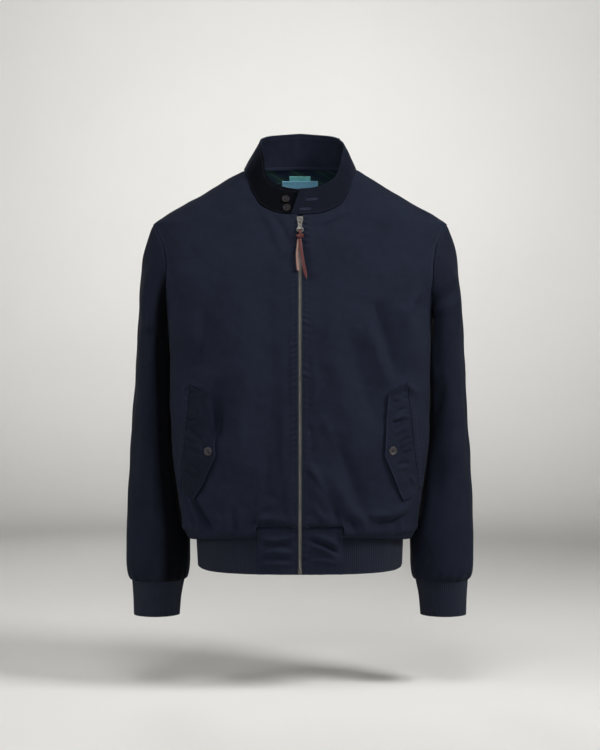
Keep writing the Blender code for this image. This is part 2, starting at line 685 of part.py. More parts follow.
def add_collar_button(name, finish):
    """A button on the under end of the collar, at the nearest place to its x and z."""
    x, z = COLLAR_BUTTONS[name]
    lap = np.linspace(-COLLAR_UNDER_END, -COLLAR_LAP_FROM, 331)
    turn, height = np.meshgrid(lap, np.linspace(0, 1, 201))
    points = collar(turn, height)
    best = np.argmin((points[..., 0] - x) ** 2 + (points[..., 2] - z) ** 2)
    out = -normals(collar, turn.flat[best], height.flat[best])
    centre = points.reshape(-1, 3)[best] + out * (GAP + BUTTON_THICK / 2)
    return add_button(f"collar_button_{name}", centre, out, COLLAR_BUTTON_RADIUS, finish)


def front_line(z):
    """Points of the centre front's face at given heights, the hem tabs' face at the bottom."""
    upper = section(BODY, 0.0, np.maximum(z, TAB_TOP))
    lower = section(TAB, 0.0, z)
    return np.where((z > TAB_TOP)[..., None], upper, lower)


def strip_heights():
    return np.linspace(RIB_BOTTOM, ZIP_TOP, 30)[:, None]


def add_tape(side, finish):
    z = strip_heights()
    across = np.linspace(GAP / 2, TAPE_WIDTH, 3)
    points = front_line(z + 0 * across)
    points[..., 0] = across if side == "right" else -across
    inward = np.array([0.0, 1.0, 0.0])
    outer, inner = points + inward * TAPE_DEEP, points + inward * (TAPE_DEEP + TAPE)
    return add_wall(f"zip_tape_{side}", outer, inner, finish)


def add_chain(finish):
    z = np.linspace(RIB_BOTTOM + 0.001, PULL_HEIGHT - SLIDER_LOW, 30)[:, None]
    across = np.array([-0.5, 0.5]) * CHAIN_WIDTH
    points = front_line(z + 0 * across)
    points[..., 0] = across
    inward = np.array([0.0, 1.0, 0.0])
    outer = points - inward * CHAIN_PROUD
    return add_wall("zip_chain", outer, outer + inward * CHAIN_THICK, finish)


def add_prism(name, outline, low, high, finish):
    """A solid of an outline in its own X and Y, from one Z to another."""
    count = len(outline)
    points = [(x, y, low) for x, y in outline] + [(x, y, high) for x, y in outline]
    faces = [list(range(count))[::-1], list(range(count, 2 * count))]
    faces += [[i, (i + 1) % count, count + (i + 1) % count, count + i] for i in range(count)]
    return add_mesh(name, points, faces, finish)


def combine(target, other, how):
    """Joins or cuts a solid with another, which stays as a hidden guide."""
    change = target.modifiers.new(how.title(), "BOOLEAN")
    change.operation = how
    change.solver = "EXACT"
    change.object = other
    other.parent = target
    other.hide_render = True
    other.display_type = "WIRE"


def hinge_place():
    """Where the pull hinges at the crown: X along its axis, Y up the zip and Z out of the front."""
    out = CHAIN_PROUD + GAP + SLIDER_THICK + PULL_PLAY + PULL_THICK / 2
    y = front_line(np.array(PULL_HEIGHT))[1] - out / math.cos(PULL_SLOPE)
    return Matrix.Translation((0.0, y, PULL_HEIGHT)) @ Matrix.Rotation(math.pi / 2 - PULL_SLOPE, 4, "X")


def add_hinge():
    hinge = bpy.data.objects.new("pull_hinge", None)
    hinge.matrix_world = hinge_place()
    bpy.context.scene.collection.objects.link(hinge)
    return hinge


def add_slider(finish):
    """The slider's shaped face plate and the crown that holds the pull."""
    face = -PULL_PLAY - PULL_THICK / 2
    wide, narrow = SLIDER_WIDE / 2, SLIDER_NARROW / 2
    low_shoulder, top_shoulder = SLIDER_SHOULDERS
    right = (
        (narrow, -SLIDER_LOW), (narrow, 0.0), (wide, low_shoulder), (wide, top_shoulder),
        (narrow, SLIDER_TOP),
    )
    outline = right + tuple((-x, y) for x, y in reversed(right))
    plate = add_prism("zip_slider", outline, face - SLIDER_THICK, face, finish)
    plate.matrix_world = hinge_place()
    eye, foot = -face, face - CROWN_SUNK
    arch = (
        (-eye - CROWN_POST, foot), (-eye - CROWN_POST, eye), (-eye, eye + CROWN_THICK),
        (CROWN_BACK_TOP, eye + CROWN_THICK), *CROWN_TAIL, (CROWN_BACK_LOW, eye), (-eye, eye), (-eye, foot),
    )
    crown = add_prism("crown_guide", arch, -CROWN_WIDE / 2, CROWN_WIDE / 2, finish)
    crown.rotation_euler = (math.pi / 2, 0.0, math.pi / 2)
    combine(plate, crown, "UNION")
    return plate


def add_box_cutter(name, width, low, high, finish):
    outline = ((-width / 2, low), (width / 2, low), (width / 2, high), (-width / 2, high))
    return add_prism(name, outline, -PULL_THICK, PULL_THICK, finish)


def add_pull(hinge, finish):
    """The flat pull: its eye over the crown, a small hole and the slot that the thong goes through."""
    top, low = PULL_THICK / 2, PULL_THICK / 2 - PULL_LONG
    neck, wide = PULL_NECK / 2, PULL_WIDE / 2
    right = ((neck, top),) + tuple((neck * share, low * down) for share, down in PULL_SHAPE)
    right += tuple((wide * share, low * down) for share, down in PULL_FOOT)
    outline = right + tuple((-x, y) for x, y in reversed(right))
    pull = add_prism("zip_pull", outline, -PULL_THICK / 2, PULL_THICK / 2, finish)
    pull.parent = hinge
    eye = add_box_cutter("eye_cutter", PULL_EYE[0], -top - PULL_EYE[1], -top, finish)
    slot_low = low + PULL_SLOT_FLOOR
    slot = add_box_cutter("slot_cutter", PULL_SLOT[0], slot_low, slot_low + PULL_SLOT[1], finish)
    points, faces = lathe(((PULL_HOLE_RADIUS, -PULL_THICK), (PULL_HOLE_RADIUS, PULL_THICK)), 12)
    hole = add_mesh("hole_cutter", points + np.array([0.0, low * PULL_HOLE_DOWN, 0.0]), faces, finish)
    for cutter in (eye, slot, hole):
        combine(pull, cutter, "DIFFERENCE")
    return pull


def add_knot(hinge, finish):
    """The thong's knot, close under the pull."""
    width, deep, long = KNOT_SIZE
    bpy.ops.mesh.primitive_uv_sphere_add(segments=16, ring_count=10, radius=0.5)
    knot = bpy.context.object
    knot.name = "thong_knot"
    knot.data.name = "thong_knot"
    knot.scale = (width, long, deep)
    bpy.ops.object.transform_apply(location=False, rotation=False, scale=True)
    knot.data.shade_smooth()
    knot.data.materials.append(finish)
    knot.parent = hinge
    knot.location = (0.0, PULL_THICK / 2 - PULL_LONG - GAP - long / 2, deep / 2 - PULL_THICK)
    return knot


def add_tail(side, hinge, finish):
    """One free end of the thong, hanging close over the zip."""
    rows = THONG_TAILS[side]
    z = np.linspace(rows[0][0], rows[-1][0], 16)
    route = front_line(z)
    route[:, 0] = column(rows, THONG_COLUMNS, "x", z)
    route[:, 1] -= THONG_PROUD
    curve = bpy.data.curves.new(f"thong_tail_{side}", "CURVE")
    curve.dimensions = "3D"
    curve.bevel_depth = THONG_RADIUS
    curve.bevel_resolution = 2
    curve.use_fill_caps = True
    spline = curve.splines.new("POLY")
    spline.points.add(len(z) - 1)
    back = hinge_place().inverted()
    for knot, point in zip(spline.points, route):
        knot.co = (*(back @ Vector(point)), 1.0)
    curve.materials.append(finish)
    tail = bpy.data.objects.new(f"thong_tail_{side}", curve)
    tail.parent = hinge
    bpy.context.scene.collection.objects.link(tail)
    return tail


def add_lining(finish):
    """The lining that shows inside the back neck, close behind the back panel."""
    deep = TWILL + LINING_CLEAR
    share = np.linspace(0, 1, 6)[:, None]
    turn = math.pi + np.radians(LINING_TURN) * np.linspace(-1, 1, 19)
    top = neck_height(turn)
    level = LINING_DEEP + (top - LINING_DEEP) * share
    turn, level = np.broadcast_arrays(turn, level)
    face = plain_body(turn, level)
    out = normals(plain_body, turn, level)
    return add_wall("neck_lining", face - out * deep, face - out * (deep + LABEL), finish)


def add_label(name, size, top, deep, finish):
    """A plain woven label on the lining at the centre back."""
    x = np.linspace(-0.5, 0.5, 7) * size[0]
    level = top - np.linspace(0, 1, 4)[:, None] * size[1]
    x, level = np.broadcast_arrays(x, level)
    share = np.abs(x) / column(BODY, BODY_COLUMNS, "half_width", level)
    turn = math.pi - np.sign(x) * np.arcsin(share)
    face = plain_body(turn, level)
    out = normals(plain_body, turn, level)
    return add_wall(name, face - out * deep, face - out * (deep + LABEL), finish)


def main():
    for thing in list(bpy.data.objects):
        bpy.data.objects.remove(thing, do_unlink=True)
    twill = material("navy_twill", (0.018, 0.021, 0.036), 0.85)
    rib = material("navy_rib_knit", (0.016, 0.019, 0.032), 0.9)
    lining = material("tartan_lining", (0.012, 0.022, 0.028), 0.85)
    metal = material("antique_nickel", (0.45, 0.44, 0.42), 0.35, 1.0)
    tape = material("zip_tape", (0.015, 0.017, 0.028), 0.9)
    leather = material("brown_leather", (0.16, 0.055, 0.045), 0.55)
    horn = material("dark_horn", (0.055, 0.045, 0.042), 0.35)
    blue = material("blue_label", (0.04, 0.13, 0.30), 0.8)
    green = material("green_label", (0.03, 0.11, 0.11), 0.8)

    add_back(twill)
    for side in ("left", "right"):
        add_front(side, twill)
        add_sleeve(side, twill)
        add_cuff(side, rib)
        add_tab(side, twill)
        add_tape(side, tape)
        add_flap(side, twill)
        add_flap_button(side, horn)
    add_hem_rib(rib)
    add_collar(twill)
    for place in COLLAR_BUTTONS:
        add_collar_button(place, horn)
    add_chain(metal)
    add_slider(metal)
    hinge = add_hinge()
    add_pull(hinge, metal)
    add_knot(hinge, leather)
    for side in THONG_TAILS:
        add_tail(side, hinge, leather)
    add_lining(lining)
    deep = TWILL + LINING_CLEAR + LABEL + LABEL_CLEAR
    add_label("size_tab", SIZE_TAB_SIZE, SIZE_TAB_TOP, deep, green)
    add_label("neck_label", LABEL_SIZE, LABEL_TOP, deep + LABEL + LABEL_CLEAR, blue)


main()
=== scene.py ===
"""Looks of a harrington jacket: cloth, ribs, lining, stitches, zip, buttons and thong on its frame.

Metres, +Z up. The front faces -Y and +X is the viewer's right. The cloth pieces follow the same
forms as their solids, with their folds, seams and stitches added.
"""

import json
import math

import bmesh
import bpy
import numpy as np
from mathutils import Matrix, Vector

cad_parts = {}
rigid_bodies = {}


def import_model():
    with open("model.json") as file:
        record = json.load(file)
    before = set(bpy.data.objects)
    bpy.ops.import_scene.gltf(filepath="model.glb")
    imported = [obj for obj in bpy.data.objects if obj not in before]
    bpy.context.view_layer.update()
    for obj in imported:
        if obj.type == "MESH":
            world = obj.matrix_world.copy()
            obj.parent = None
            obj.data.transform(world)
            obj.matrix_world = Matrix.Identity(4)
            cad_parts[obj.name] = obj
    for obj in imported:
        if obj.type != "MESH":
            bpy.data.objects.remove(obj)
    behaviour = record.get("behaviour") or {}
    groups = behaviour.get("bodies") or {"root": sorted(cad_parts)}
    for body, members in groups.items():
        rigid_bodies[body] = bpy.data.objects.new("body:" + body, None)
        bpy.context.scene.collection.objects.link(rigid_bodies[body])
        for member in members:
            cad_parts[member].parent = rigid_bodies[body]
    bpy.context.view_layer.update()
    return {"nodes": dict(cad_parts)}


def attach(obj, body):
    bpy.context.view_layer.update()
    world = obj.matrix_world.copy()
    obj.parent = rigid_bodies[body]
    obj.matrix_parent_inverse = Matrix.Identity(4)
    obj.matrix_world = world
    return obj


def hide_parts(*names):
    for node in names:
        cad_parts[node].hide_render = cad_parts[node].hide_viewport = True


bl_info = {
    "name": "Harrington Jacket",
    "version": (1, 0, 0),
    "blender": (4, 5, 0),
    "location": "3D View > Sidebar > Jacket",
    "description": "Builds a harrington jacket from cloth pieces, ribs, a metal zip and horn buttons",
    "category": "Object",
}

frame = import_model()


def srgb(code):
    """A hex colour such as "#2b3044" as linear red, green and blue."""
    parts = [int(code[i : i + 2], 16) / 255 for i in (1, 3, 5)]
    return tuple(p / 12.92 if p <= 0.04045 else ((p + 0.055) / 1.055) ** 2.4 for p in parts)


# ---------------------------------------------------------------- forms of the cloth pieces

TENTH_MM = 10000


def folds(rows, across=TENTH_MM):
    """Folds from rows in tenths of a millimetre: three places, the half widths and the height.

    Each place's first number is divided by `across`, which is 1 for a table in degrees.
    """
    return [
        (
            tuple((row[i] / across, row[i + 1] / TENTH_MM) for i in (0, 2, 4)),
            *(size / TENTH_MM for size in row[6:]),
        )
        for row in rows
    ]


# The body's outer face, one row for each level down the cloth. Depths run from the middle line.
# "square" is how squared the section is: 2 is an ellipse. "lift" is how much higher the front
# and back hang than the sides, where the cloth blouses over the rib.
BODY_COLUMNS = (
    "level", "z", "half_width", "front", "back", "front_square", "back_square", "middle", "lift",
)
BODY = (
    (0.012, 0.012, 0.071, 0.0550, 0.0500, 2.00, 2.00, 0.000, 0.0),
    (0.000, 0.000, 0.091, 0.0620, 0.0580, 2.00, 2.00, 0.000, 0.0),
    (-0.020, -0.020, 0.1260, 0.0735, 0.0700, 2.00, 2.00, 0.001, 0.0),
    (-0.050, -0.050, 0.1765, 0.0850, 0.0860, 2.05, 2.00, 0.002, 0.0),
    (-0.080, -0.080, 0.2275, 0.0950, 0.1000, 2.10, 2.10, 0.003, 0.0),
    (-0.094, -0.094, 0.2455, 0.0995, 0.1060, 2.15, 2.15, 0.003, 0.0),
    (-0.120, -0.120, 0.2480, 0.1070, 0.1150, 2.25, 2.20, 0.002, 0.0),
    (-0.170, -0.170, 0.2430, 0.1190, 0.1260, 2.35, 2.25, -0.001, 0.0),
    (-0.240, -0.240, 0.2200, 0.1300, 0.1340, 2.40, 2.30, -0.006, 0.0),
    (-0.300, -0.300, 0.2160, 0.1350, 0.1360, 2.45, 2.30, -0.010, 0.0),
    (-0.380, -0.380, 0.2150, 0.1360, 0.1330, 2.45, 2.30, -0.012, 0.0),
    (-0.450, -0.450, 0.2130, 0.1360, 0.1290, 2.45, 2.30, -0.012, 0.0),
    (-0.520, -0.520, 0.2045, 0.1355, 0.1260, 2.40, 2.30, -0.010, 0.0),
    (-0.565, -0.565, 0.1980, 0.1335, 0.1240, 2.40, 2.30, -0.008, 0.0),
    (-0.588, -0.588, 0.1935, 0.1310, 0.1215, 2.40, 2.30, -0.006, 0.0),
    (-0.600, -0.603, 0.1890, 0.1275, 0.1185, 2.40, 2.30, -0.006, 0.007),
    (-0.610, -0.612, 0.1825, 0.1230, 0.1145, 2.40, 2.30, -0.006, 0.0125),
    (-0.618, -0.6125, 0.1765, 0.1200, 0.1115, 2.40, 2.30, -0.006, 0.014),
    (-0.626, -0.604, 0.1735, 0.1185, 0.1095, 2.40, 2.30, -0.006, 0.005),
)
# The rib hem band and the hem tabs, on the same kind of section.
RIB = (
    (-0.6043, -0.6043, 0.1715, 0.1175, 0.1080, 2.40, 2.30, -0.006, 0.005),
    (-0.630, -0.630, 0.1705, 0.1165, 0.1065, 2.40, 2.30, -0.006, 0.0),
    (-0.661, -0.661, 0.1690, 0.1150, 0.1050, 2.40, 2.30, -0.006, 0.0),
)
TAB = (
    (-0.5838, -0.5838, 0.1943, 0.1314, 0.1215, 2.40, 2.30, -0.006, 0.0),
    (-0.6100, -0.6100, 0.1850, 0.1255, 0.1150, 2.40, 2.30, -0.006, 0.0),
    (-0.6350, -0.6350, 0.1750, 0.1205, 0.1100, 2.40, 2.30, -0.006, 0.0),
    (-0.6610, -0.6610, 0.1690, 0.1150, 0.1050, 2.40, 2.30, -0.006, 0.0),
)
TAB_TOP = -0.5835
HEM_SEAM = -0.600
BLOUSE = 0.0022
TAB_WIDTH = 0.069
HEM_LEVEL = -0.626
RIB_BOTTOM = -0.661
FRONT_EDGE = 0.0040
SEAM_GAP = 0.0003

# The neckline on the body's face: turn from the centre front in degrees, and height.
NECK_COLUMNS = ("turn", "z")
NECK = (
    (0.0, -0.0835), (6.5, -0.0820), (17.0, -0.0690), (25.0, -0.0500), (42.0, -0.0210),
    (65.0, -0.0060), (90.0, 0.0000), (135.0, 0.0065), (180.0, 0.0100),
)
FRONT_NECK = NECK[0][1]
BACK_NECK = NECK[-1][1]
TILT_FROM = -0.35
SEAM_FORWARD = math.radians(6)

# The armhole: an upright oval around the side line, wider in turn at the back.
ARMHOLE_TOP = -0.094
ARMHOLE_BOTTOM = -0.240
ARMHOLE_FRONT = math.radians(28)
ARMHOLE_BACK = math.radians(36)
ARMHOLE_MIDDLE = (ARMHOLE_TOP + ARMHOLE_BOTTOM) / 2
ARMHOLE_HALF = (ARMHOLE_TOP - ARMHOLE_BOTTOM) / 2
ARMHOLE_REACH = 0.078

# The sleeve's rings, which fan from the armhole down to level ones, and the cuff's.
SLEEVE_COLUMNS = ("ring", "outer_x", "outer_z", "inner_x", "inner_z", "half_depth", "middle")
SLEEVE = (
    (0, 0.2462, -0.0950, 0.2180, -0.2390, 0.064, 0.007),
    (1, 0.2555, -0.1180, 0.2150, -0.2450, 0.068, 0.010),
    (2, 0.2630, -0.1480, 0.2110, -0.2530, 0.073, 0.014),
    (3, 0.2675, -0.1850, 0.2070, -0.2650, 0.077, 0.019),
    (4, 0.2710, -0.2250, 0.2040, -0.2820, 0.080, 0.024),
    (5, 0.2740, -0.2700, 0.2020, -0.3060, 0.081, 0.028),
    (6, 0.2775, -0.3200, 0.2010, -0.3400, 0.080, 0.031),
    (7, 0.2805, -0.3700, 0.2000, -0.3800, 0.078, 0.032),
    (8, 0.2835, -0.4200, 0.1985, -0.4240, 0.075, 0.031),
    (9, 0.2858, -0.4700, 0.1960, -0.4700, 0.071, 0.028),
    (10, 0.2875, -0.5200, 0.1920, -0.5200, 0.067, 0.023),
    (11, 0.2895, -0.5700, 0.1870, -0.5700, 0.062, 0.017),
    (12, 0.2905, -0.6150, 0.1835, -0.6150, 0.058, 0.012),
    (13, 0.2900, -0.6450, 0.1835, -0.6450, 0.056, 0.010),
    (14, 0.2885, -0.6650, 0.1850, -0.6650, 0.053, 0.009),
    (15, 0.2850, -0.6780, 0.1885, -0.6780, 0.048, 0.008),
    (16, 0.2810, -0.6825, 0.1925, -0.6825, 0.044, 0.008),
)
CUFF_COLUMNS = ("z", "outer_x", "inner_x", "half_depth", "middle")
CUFF = (
    (-0.6828, 0.2805, 0.1930, 0.0435, 0.008),
    (-0.7120, 0.2785, 0.1985, 0.0405, 0.008),
    (-0.7410, 0.2775, 0.2010, 0.0395, 0.008),
)
SLEEVE_CLEAR = 0.0036

# The collar stand over the neckline: turn from the centre back in degrees, lean inwards on each
# side and rise. The far rows reach past the centre front, where the ends overlap.
COLLAR_COLUMNS = ("turn", "lean_left", "lean_right", "rise")
COLLAR = (
    (0.0, 0.008, 0.008, 0.0560), (45.0, 0.014, 0.013, 0.0530), (68.0, 0.020, 0.019, 0.0495),
    (90.0, 0.027, 0.025, 0.0485),
    (120.0, 0.028, 0.018, 0.0455), (145.0, 0.025, 0.015, 0.0430), (165.0, 0.018, 0.014, 0.0415),
    (195.0, 0.014, 0.012, 0.0410),
)
COLLAR_UNDER_END = 183.0
COLLAR_OVER_END = 183.7
COLLAR_OVER_SLANT = 3.7
COLLAR_LAP = 0.0045
COLLAR_SEAM = 0.0007
COLLAR_TUCK = 0.0028
COLLAR_LAP_FROM = 150.0
COLLAR_LAP_TO = 174.0

# Pocket flaps, corners on the front: seam top and bottom, upper corner, point and lower tip.
FLAP_COLUMNS = ("seam_top", "seam_low", "corner", "point", "tip")
FLAPS = {
    "left": (
        (-0.1745, -0.3583), (-0.1915, -0.5290), (-0.1445, -0.3760), (-0.1320, -0.4695), (-0.1673, -0.5445),
    ),
    "right": (
        (0.1696, -0.3546), (0.1914, -0.5300), (0.1400, -0.3720), (0.1335, -0.4695), (0.1624, -0.5425),
    ),
}
FLAP_LIFT = 0.0012
FLAP_ACROSS = 0.045
FLAP_STEP = 0.0018
FLAP_BUTTONS = {"left": (-0.1436, -0.463), "right": (0.1458, -0.4625)}
COLLAR_BUTTONS = {"top": (-0.0228, -0.0575), "low": (-0.0214, -0.0722)}

FLAP_BAND = 0.0095
FLAP_FOLDS = {
    "left": folds((
        (-1797, -4151, -1689, -4145, -1590, -4136, 18, 18, -39),
        (-1797, -4199, -1689, -4186, -1598, -4183, 22, 22, 30),
        (-1813, -4255, -1733, -4390, -1580, -4493, 24, 24, 47),
        (-1768, -4239, -1660, -4358, -1526, -4485, 24, 24, -39),
        (-1838, -4469, -1709, -4549, -1542, -4581, 25, 25, 30),
        (-1829, -4573, -1689, -4622, -1542, -4692, 25, 25, -30),
        (-1798, -4692, -1670, -4787, -1542, -4867, 24, 24, 39),
        (-1819, -4752, -1689, -4861, -1560, -4946, 24, 24, -34),
        (-1829, -4851, -1689, -4946, -1580, -5040, 24, 24, 35),
        (-1844, -4946, -1733, -5040, -1630, -5129, 24, 24, -30),
        (-1749, -5090, -1720, -5209, -1701, -5328, 25, 25, 30),
        (-1638, -3849, -1574, -4008, -1542, -4215, 30, 40, 26),
    )),
    "right": folds((
        (1452, -4145, 1600, -4080, 1739, -4096, 22, 26, 42),
        (1479, -4066, 1590, -3967, 1709, -3945, 30, 30, -35),
        (1441, -4183, 1541, -4156, 1620, -4166, 24, 24, -34),
        (1558, -4581, 1670, -4501, 1789, -4434, 22, 26, 47),
        (1541, -4533, 1650, -4454, 1765, -4404, 20, 20, -34),
        (1580, -4692, 1685, -4660, 1797, -4628, 22, 28, -39),
        (1511, -4931, 1650, -4891, 1765, -4899, 30, 30, 30),
        (1491, -4867, 1606, -4832, 1749, -4819, 30, 30, -26),
        (1709, -5010, 1765, -5090, 1809, -5185, 30, 30, 26),
        (1471, -4374, 1590, -4294, 1730, -4231, 30, 30, 30),
        (1447, -3818, 1542, -3786, 1638, -3818, 30, 25, 25),
    )),
}
TAB_FOLDS = folds((
    (-660, -6010, -400, -6045, -110, -6005, 35, 45, 49),
    (-660, -6130, -350, -6115, -110, -6160, 40, 40, -38),
    (-660, -6270, -400, -6220, -110, -6265, 35, 45, 46),
    (-640, -6360, -400, -6335, -120, -6370, 35, 35, -31),
    (-640, -6460, -400, -6420, -120, -6455, 35, 35, 36),
    (130, -6030, 400, -6120, 640, -6290, 28, 28, -62),
    (130, -6110, 400, -6200, 600, -6350, 45, 45, 53), (180, -5960, 440, -6030, 670, -6190, 45, 45, 51),
    (110, -6400, 350, -6365, 640, -6440, 40, 40, 33),
))

# Soft folds on the fronts and back, each a line of places with its half widths before and behind
# the line and its height, a trough below zero.
FRONT_FOLDS = folds((
    (-2009, -1588, -1854, -2467, -1647, -3294, 233, 310, 112),
    (-1311, -3398, -1270, -3915, -1332, -4587, 114, 176, -126),
    (-1476, -2338, -1580, -2932, -1642, -3449, 47, 155, -62),
    (-1078, -3501, -1042, -4328, -1130, -5155, 207, 310, 56),
    (-1942, -5155, -1802, -5569, -1647, -5957, 41, 52, -62),
    (-1869, -5259, -1694, -5631, -1507, -5983, 52, 47, 95),
    (-1797, -5311, -1601, -5641, -1383, -5962, 41, 47, -118),
    (-1714, -5259, -1476, -5631, -1218, -5983, 52, 83, 84),
    (-1570, -5414, -1389, -5698, -1249, -5993, 47, 52, -50),
    (-1073, -5466, -1042, -5698, -1021, -5993, 36, 47, -39),
    (-939, -5543, -923, -5750, -913, -5993, 36, 36, 36),
    (-1466, -3656, -1352, -4018, -1311, -4587, 47, 134, -62),
    (-510, -4587, -536, -5000, -629, -5466, 52, 83, -34),
    (-432, -5362, -587, -5517, -742, -5652, 47, 62, 50),
    (-251, -3811, -277, -4535, -246, -5104, 47, 62, 31),
    (-174, -2674, -215, -3294, -184, -3915, 47, 62, -25),
    (-897, -2053, -872, -3501, -923, -5311, 258, 258, 45),
    (-510, -1847, -458, -3501, -536, -5466, 207, 207, -50),
    (-639, -720, -432, -1071, -251, -1536, 62, 83, 36),
    (-510, -720, -277, -1071, -122, -1433, 47, 52, -31),
    (-794, -5755, -536, -5776, -199, -5838, 36, 36, -67),
    (-768, -5678, -484, -5683, -174, -5734, 41, 52, 56),
    (-639, -5890, -380, -5900, -122, -5921, 41, 41, 34),
    (-1166, -5595, -1115, -5776, -1063, -6008, 41, 41, 45),
    (-148, -4949, -184, -5311, -199, -5776, 52, 62, 39),
    (-1880, -3682, -1750, -3563, -1544, -3646, 52, 52, 50),
    (990, -2415, 1196, -2984, 1419, -3656, 134, 93, 67),
    (1171, -2183, 1357, -2782, 1564, -3579, 62, 217, -112),
    (1636, -2208, 1739, -2777, 1688, -3449, 207, 207, 90),
    (447, -2208, 576, -3294, 860, -4483, 258, 258, 62),
    (705, -2570, 990, -3449, 1300, -4432, 310, 207, -90),
    (111, -4742, 318, -5155, 592, -5724, 93, 52, 90),
    (162, -4974, 385, -5311, 679, -5879, 52, 72, -84),
    (447, -4897, 705, -5414, 938, -5957, 114, 114, 67),
    (85, -4964, 162, -5011, 256, -5104, 31, 31, -45),
    (499, -4276, 809, -5052, 1041, -5776, 124, 124, -62),
    (757, -5466, 974, -5714, 1067, -5993, 47, 62, 62),
    (705, -5647, 840, -5776, 891, -5972, 36, 36, -50),
    (354, -4018, 447, -4328, 592, -4638, 72, 93, 34), (188, -2984, 240, -3501, 199, -4044, 41, 62, 28),
    (111, -4173, 188, -4457, 157, -4742, 41, 52, -34),
    (188, -5466, 302, -5631, 447, -5734, 41, 47, 50),
    (1041, -5662, 1429, -5662, 1765, -5466, 62, 72, 78),
    (1196, -5791, 1507, -5776, 1817, -5636, 36, 41, -78),
    (302, -5827, 499, -5890, 731, -5962, 31, 47, 50),
    (871, -3635, 1067, -3646, 1264, -3672, 26, 26, 17),
    (2024, -1950, 1791, -2260, 1584, -2674, 93, 93, 56),
    (1817, -5207, 1688, -5517, 1532, -5776, 78, 78, 56),
    (240, -1009, 550, -895, 850, -720, 41, 62, 36), (111, -1019, 178, -1433, 240, -1950, 72, 103, 36),
    (1352, -3760, 1626, -3563, 1956, -3760, 52, 52, 56),
))
BACK_FOLDS = folds((
    (-1700, -1600, -1500, -3000, -1300, -4300, 220, 300, 54),
    (1650, -1800, 1500, -3000, 1200, -4500, 300, 220, 48),
    (-1200, -2000, -1000, -3400, -900, -5000, 200, 300, -42),
    (1100, -2200, 900, -3600, 850, -5200, 300, 200, -48),
    (-300, -3000, -200, -4500, -350, -5700, 300, 300, 33),
    (300, -2600, 350, -4200, 200, -5600, 250, 250, -33),
    (-1500, -5200, -1200, -5600, -900, -6050, 120, 140, 48),
    (1600, -5000, 1200, -5500, 1000, -6050, 120, 160, 48),
    (200, -5400, 0, -5800, -50, -6050, 100, 120, 33),
    (-500, -5500, -550, -5800, -600, -6050, 90, 90, 30),
    (600, -5600, 630, -5850, 650, -6050, 80, 80, 27), (-600, -320, 0, -460, 600, -300, 100, 140, 24),
    (-2150, -2350, -1800, -2620, -1450, -3150, 100, 140, 48),
    (2120, -2380, 1800, -2680, 1500, -3050, 120, 100, 45),
))
# The same on a sleeve, as seen laid out: degrees round from the underarm past the front, and height.
SLEEVE_FOLDS = {
    "left": folds((
        (120, -2580, 92, -2652, 62, -2780, 130, 80, 57),
        (120, -2710, 92, -2770, 60, -2900, 80, 100, -51),
        (120, -2920, 109, -4310, 120, -5920, 160, 180, 48),
        (84, -2400, 72, -3800, 66, -6000, 170, 200, -110),
        (85, -4470, 92, -5380, 90, -6220, 120, 120, 33),
        (105, -1120, 125, -1800, 128, -2570, 180, 180, 33),
        (52, -2920, 50, -3920, 56, -5120, 120, 140, 36),
        (150, -1920, 160, -3320, 150, -4720, 200, 200, -39),
        (250, -1820, 240, -3420, 255, -4920, 200, 200, 48),
        (290, -2820, 285, -4420, 300, -5920, 160, 160, -45),
        (210, -3520, 258, -3680, 300, -3840, 80, 120, 39),
        (216, -3900, 262, -4020, 300, -4120, 90, 90, 30),
        (200, -5120, 214, -5720, 206, -6320, 140, 140, 33),
    ), across=1),
    "right": folds((
        (30, -2160, 92, -1985, 142, -1780, 100, 120, 42),
        (40, -2300, 98, -2150, 142, -1980, 80, 80, -36),
        (50, -2410, 101, -2305, 139, -2210, 90, 120, 36),
        (92, -3520, 60, -4040, 45, -4720, 180, 160, -66),
        (118, -3670, 101, -4580, 86, -5470, 200, 220, 51),
        (58, -4620, 58, -5640, 44, -6370, 140, 160, 39),
        (98, -1040, 130, -1900, 133, -3070, 200, 200, 36),
        (52, -2820, 56, -3220, 66, -3620, 140, 120, 39),
        (150, -2520, 158, -3920, 148, -5320, 200, 200, -36),
        (252, -1920, 244, -3320, 250, -5120, 200, 220, 45),
        (292, -2620, 296, -4120, 288, -5720, 150, 160, -45),
        (212, -3370, 262, -3540, 304, -3760, 90, 120, 42),
        (218, -3780, 258, -3900, 296, -4060, 80, 90, 30),
        (196, -4920, 206, -5620, 212, -6320, 140, 140, 33),
    ), across=1),
}


def column(rows, columns, name, at):
    """One column of a table as a smooth curve, read at values of the table's first column."""
    order = sorted(rows)
    knots = np.array([row[0] for row in order], float)
    values = np.array([row[columns.index(name)] for row in order], float)
    steps = np.diff(knots)
    rises = np.diff(values) / steps
    before, after = rises[:-1], rises[1:]
    total = np.where(before * after > 0, before + after, 1.0)
    inner = np.where(before * after > 0, 2 * before * after / total, 0.0)
    slopes = np.concatenate([rises[:1], inner, rises[-1:]])
    at = np.clip(np.asarray(at, float), knots[0] - 0.001, knots[-1] + 0.001)
    i = np.clip(np.searchsorted(knots, at, side="right") - 1, 0, len(knots) - 2)
    f = (at - knots[i]) / steps[i]
    start = (1 + 2 * f) * (1 - f) ** 2 * values[i] + f * (1 - f) ** 2 * steps[i] * slopes[i]
    end = f * f * (3 - 2 * f) * values[i + 1] - f * f * (1 - f) * steps[i] * slopes[i + 1]
    return start + end


def columns_at(rows, columns, at):
    """All of a table's columns, read at values of its first one."""
    return {name: column(rows, columns, name, at) for name in columns[1:]}


def smooth_step(value, low, high):
    """0 below low, 1 above high, and a soft rise between."""
    part = np.clip((np.asarray(value, float) - low) / (high - low), 0, 1)
    return part * part * (3 - 2 * part)


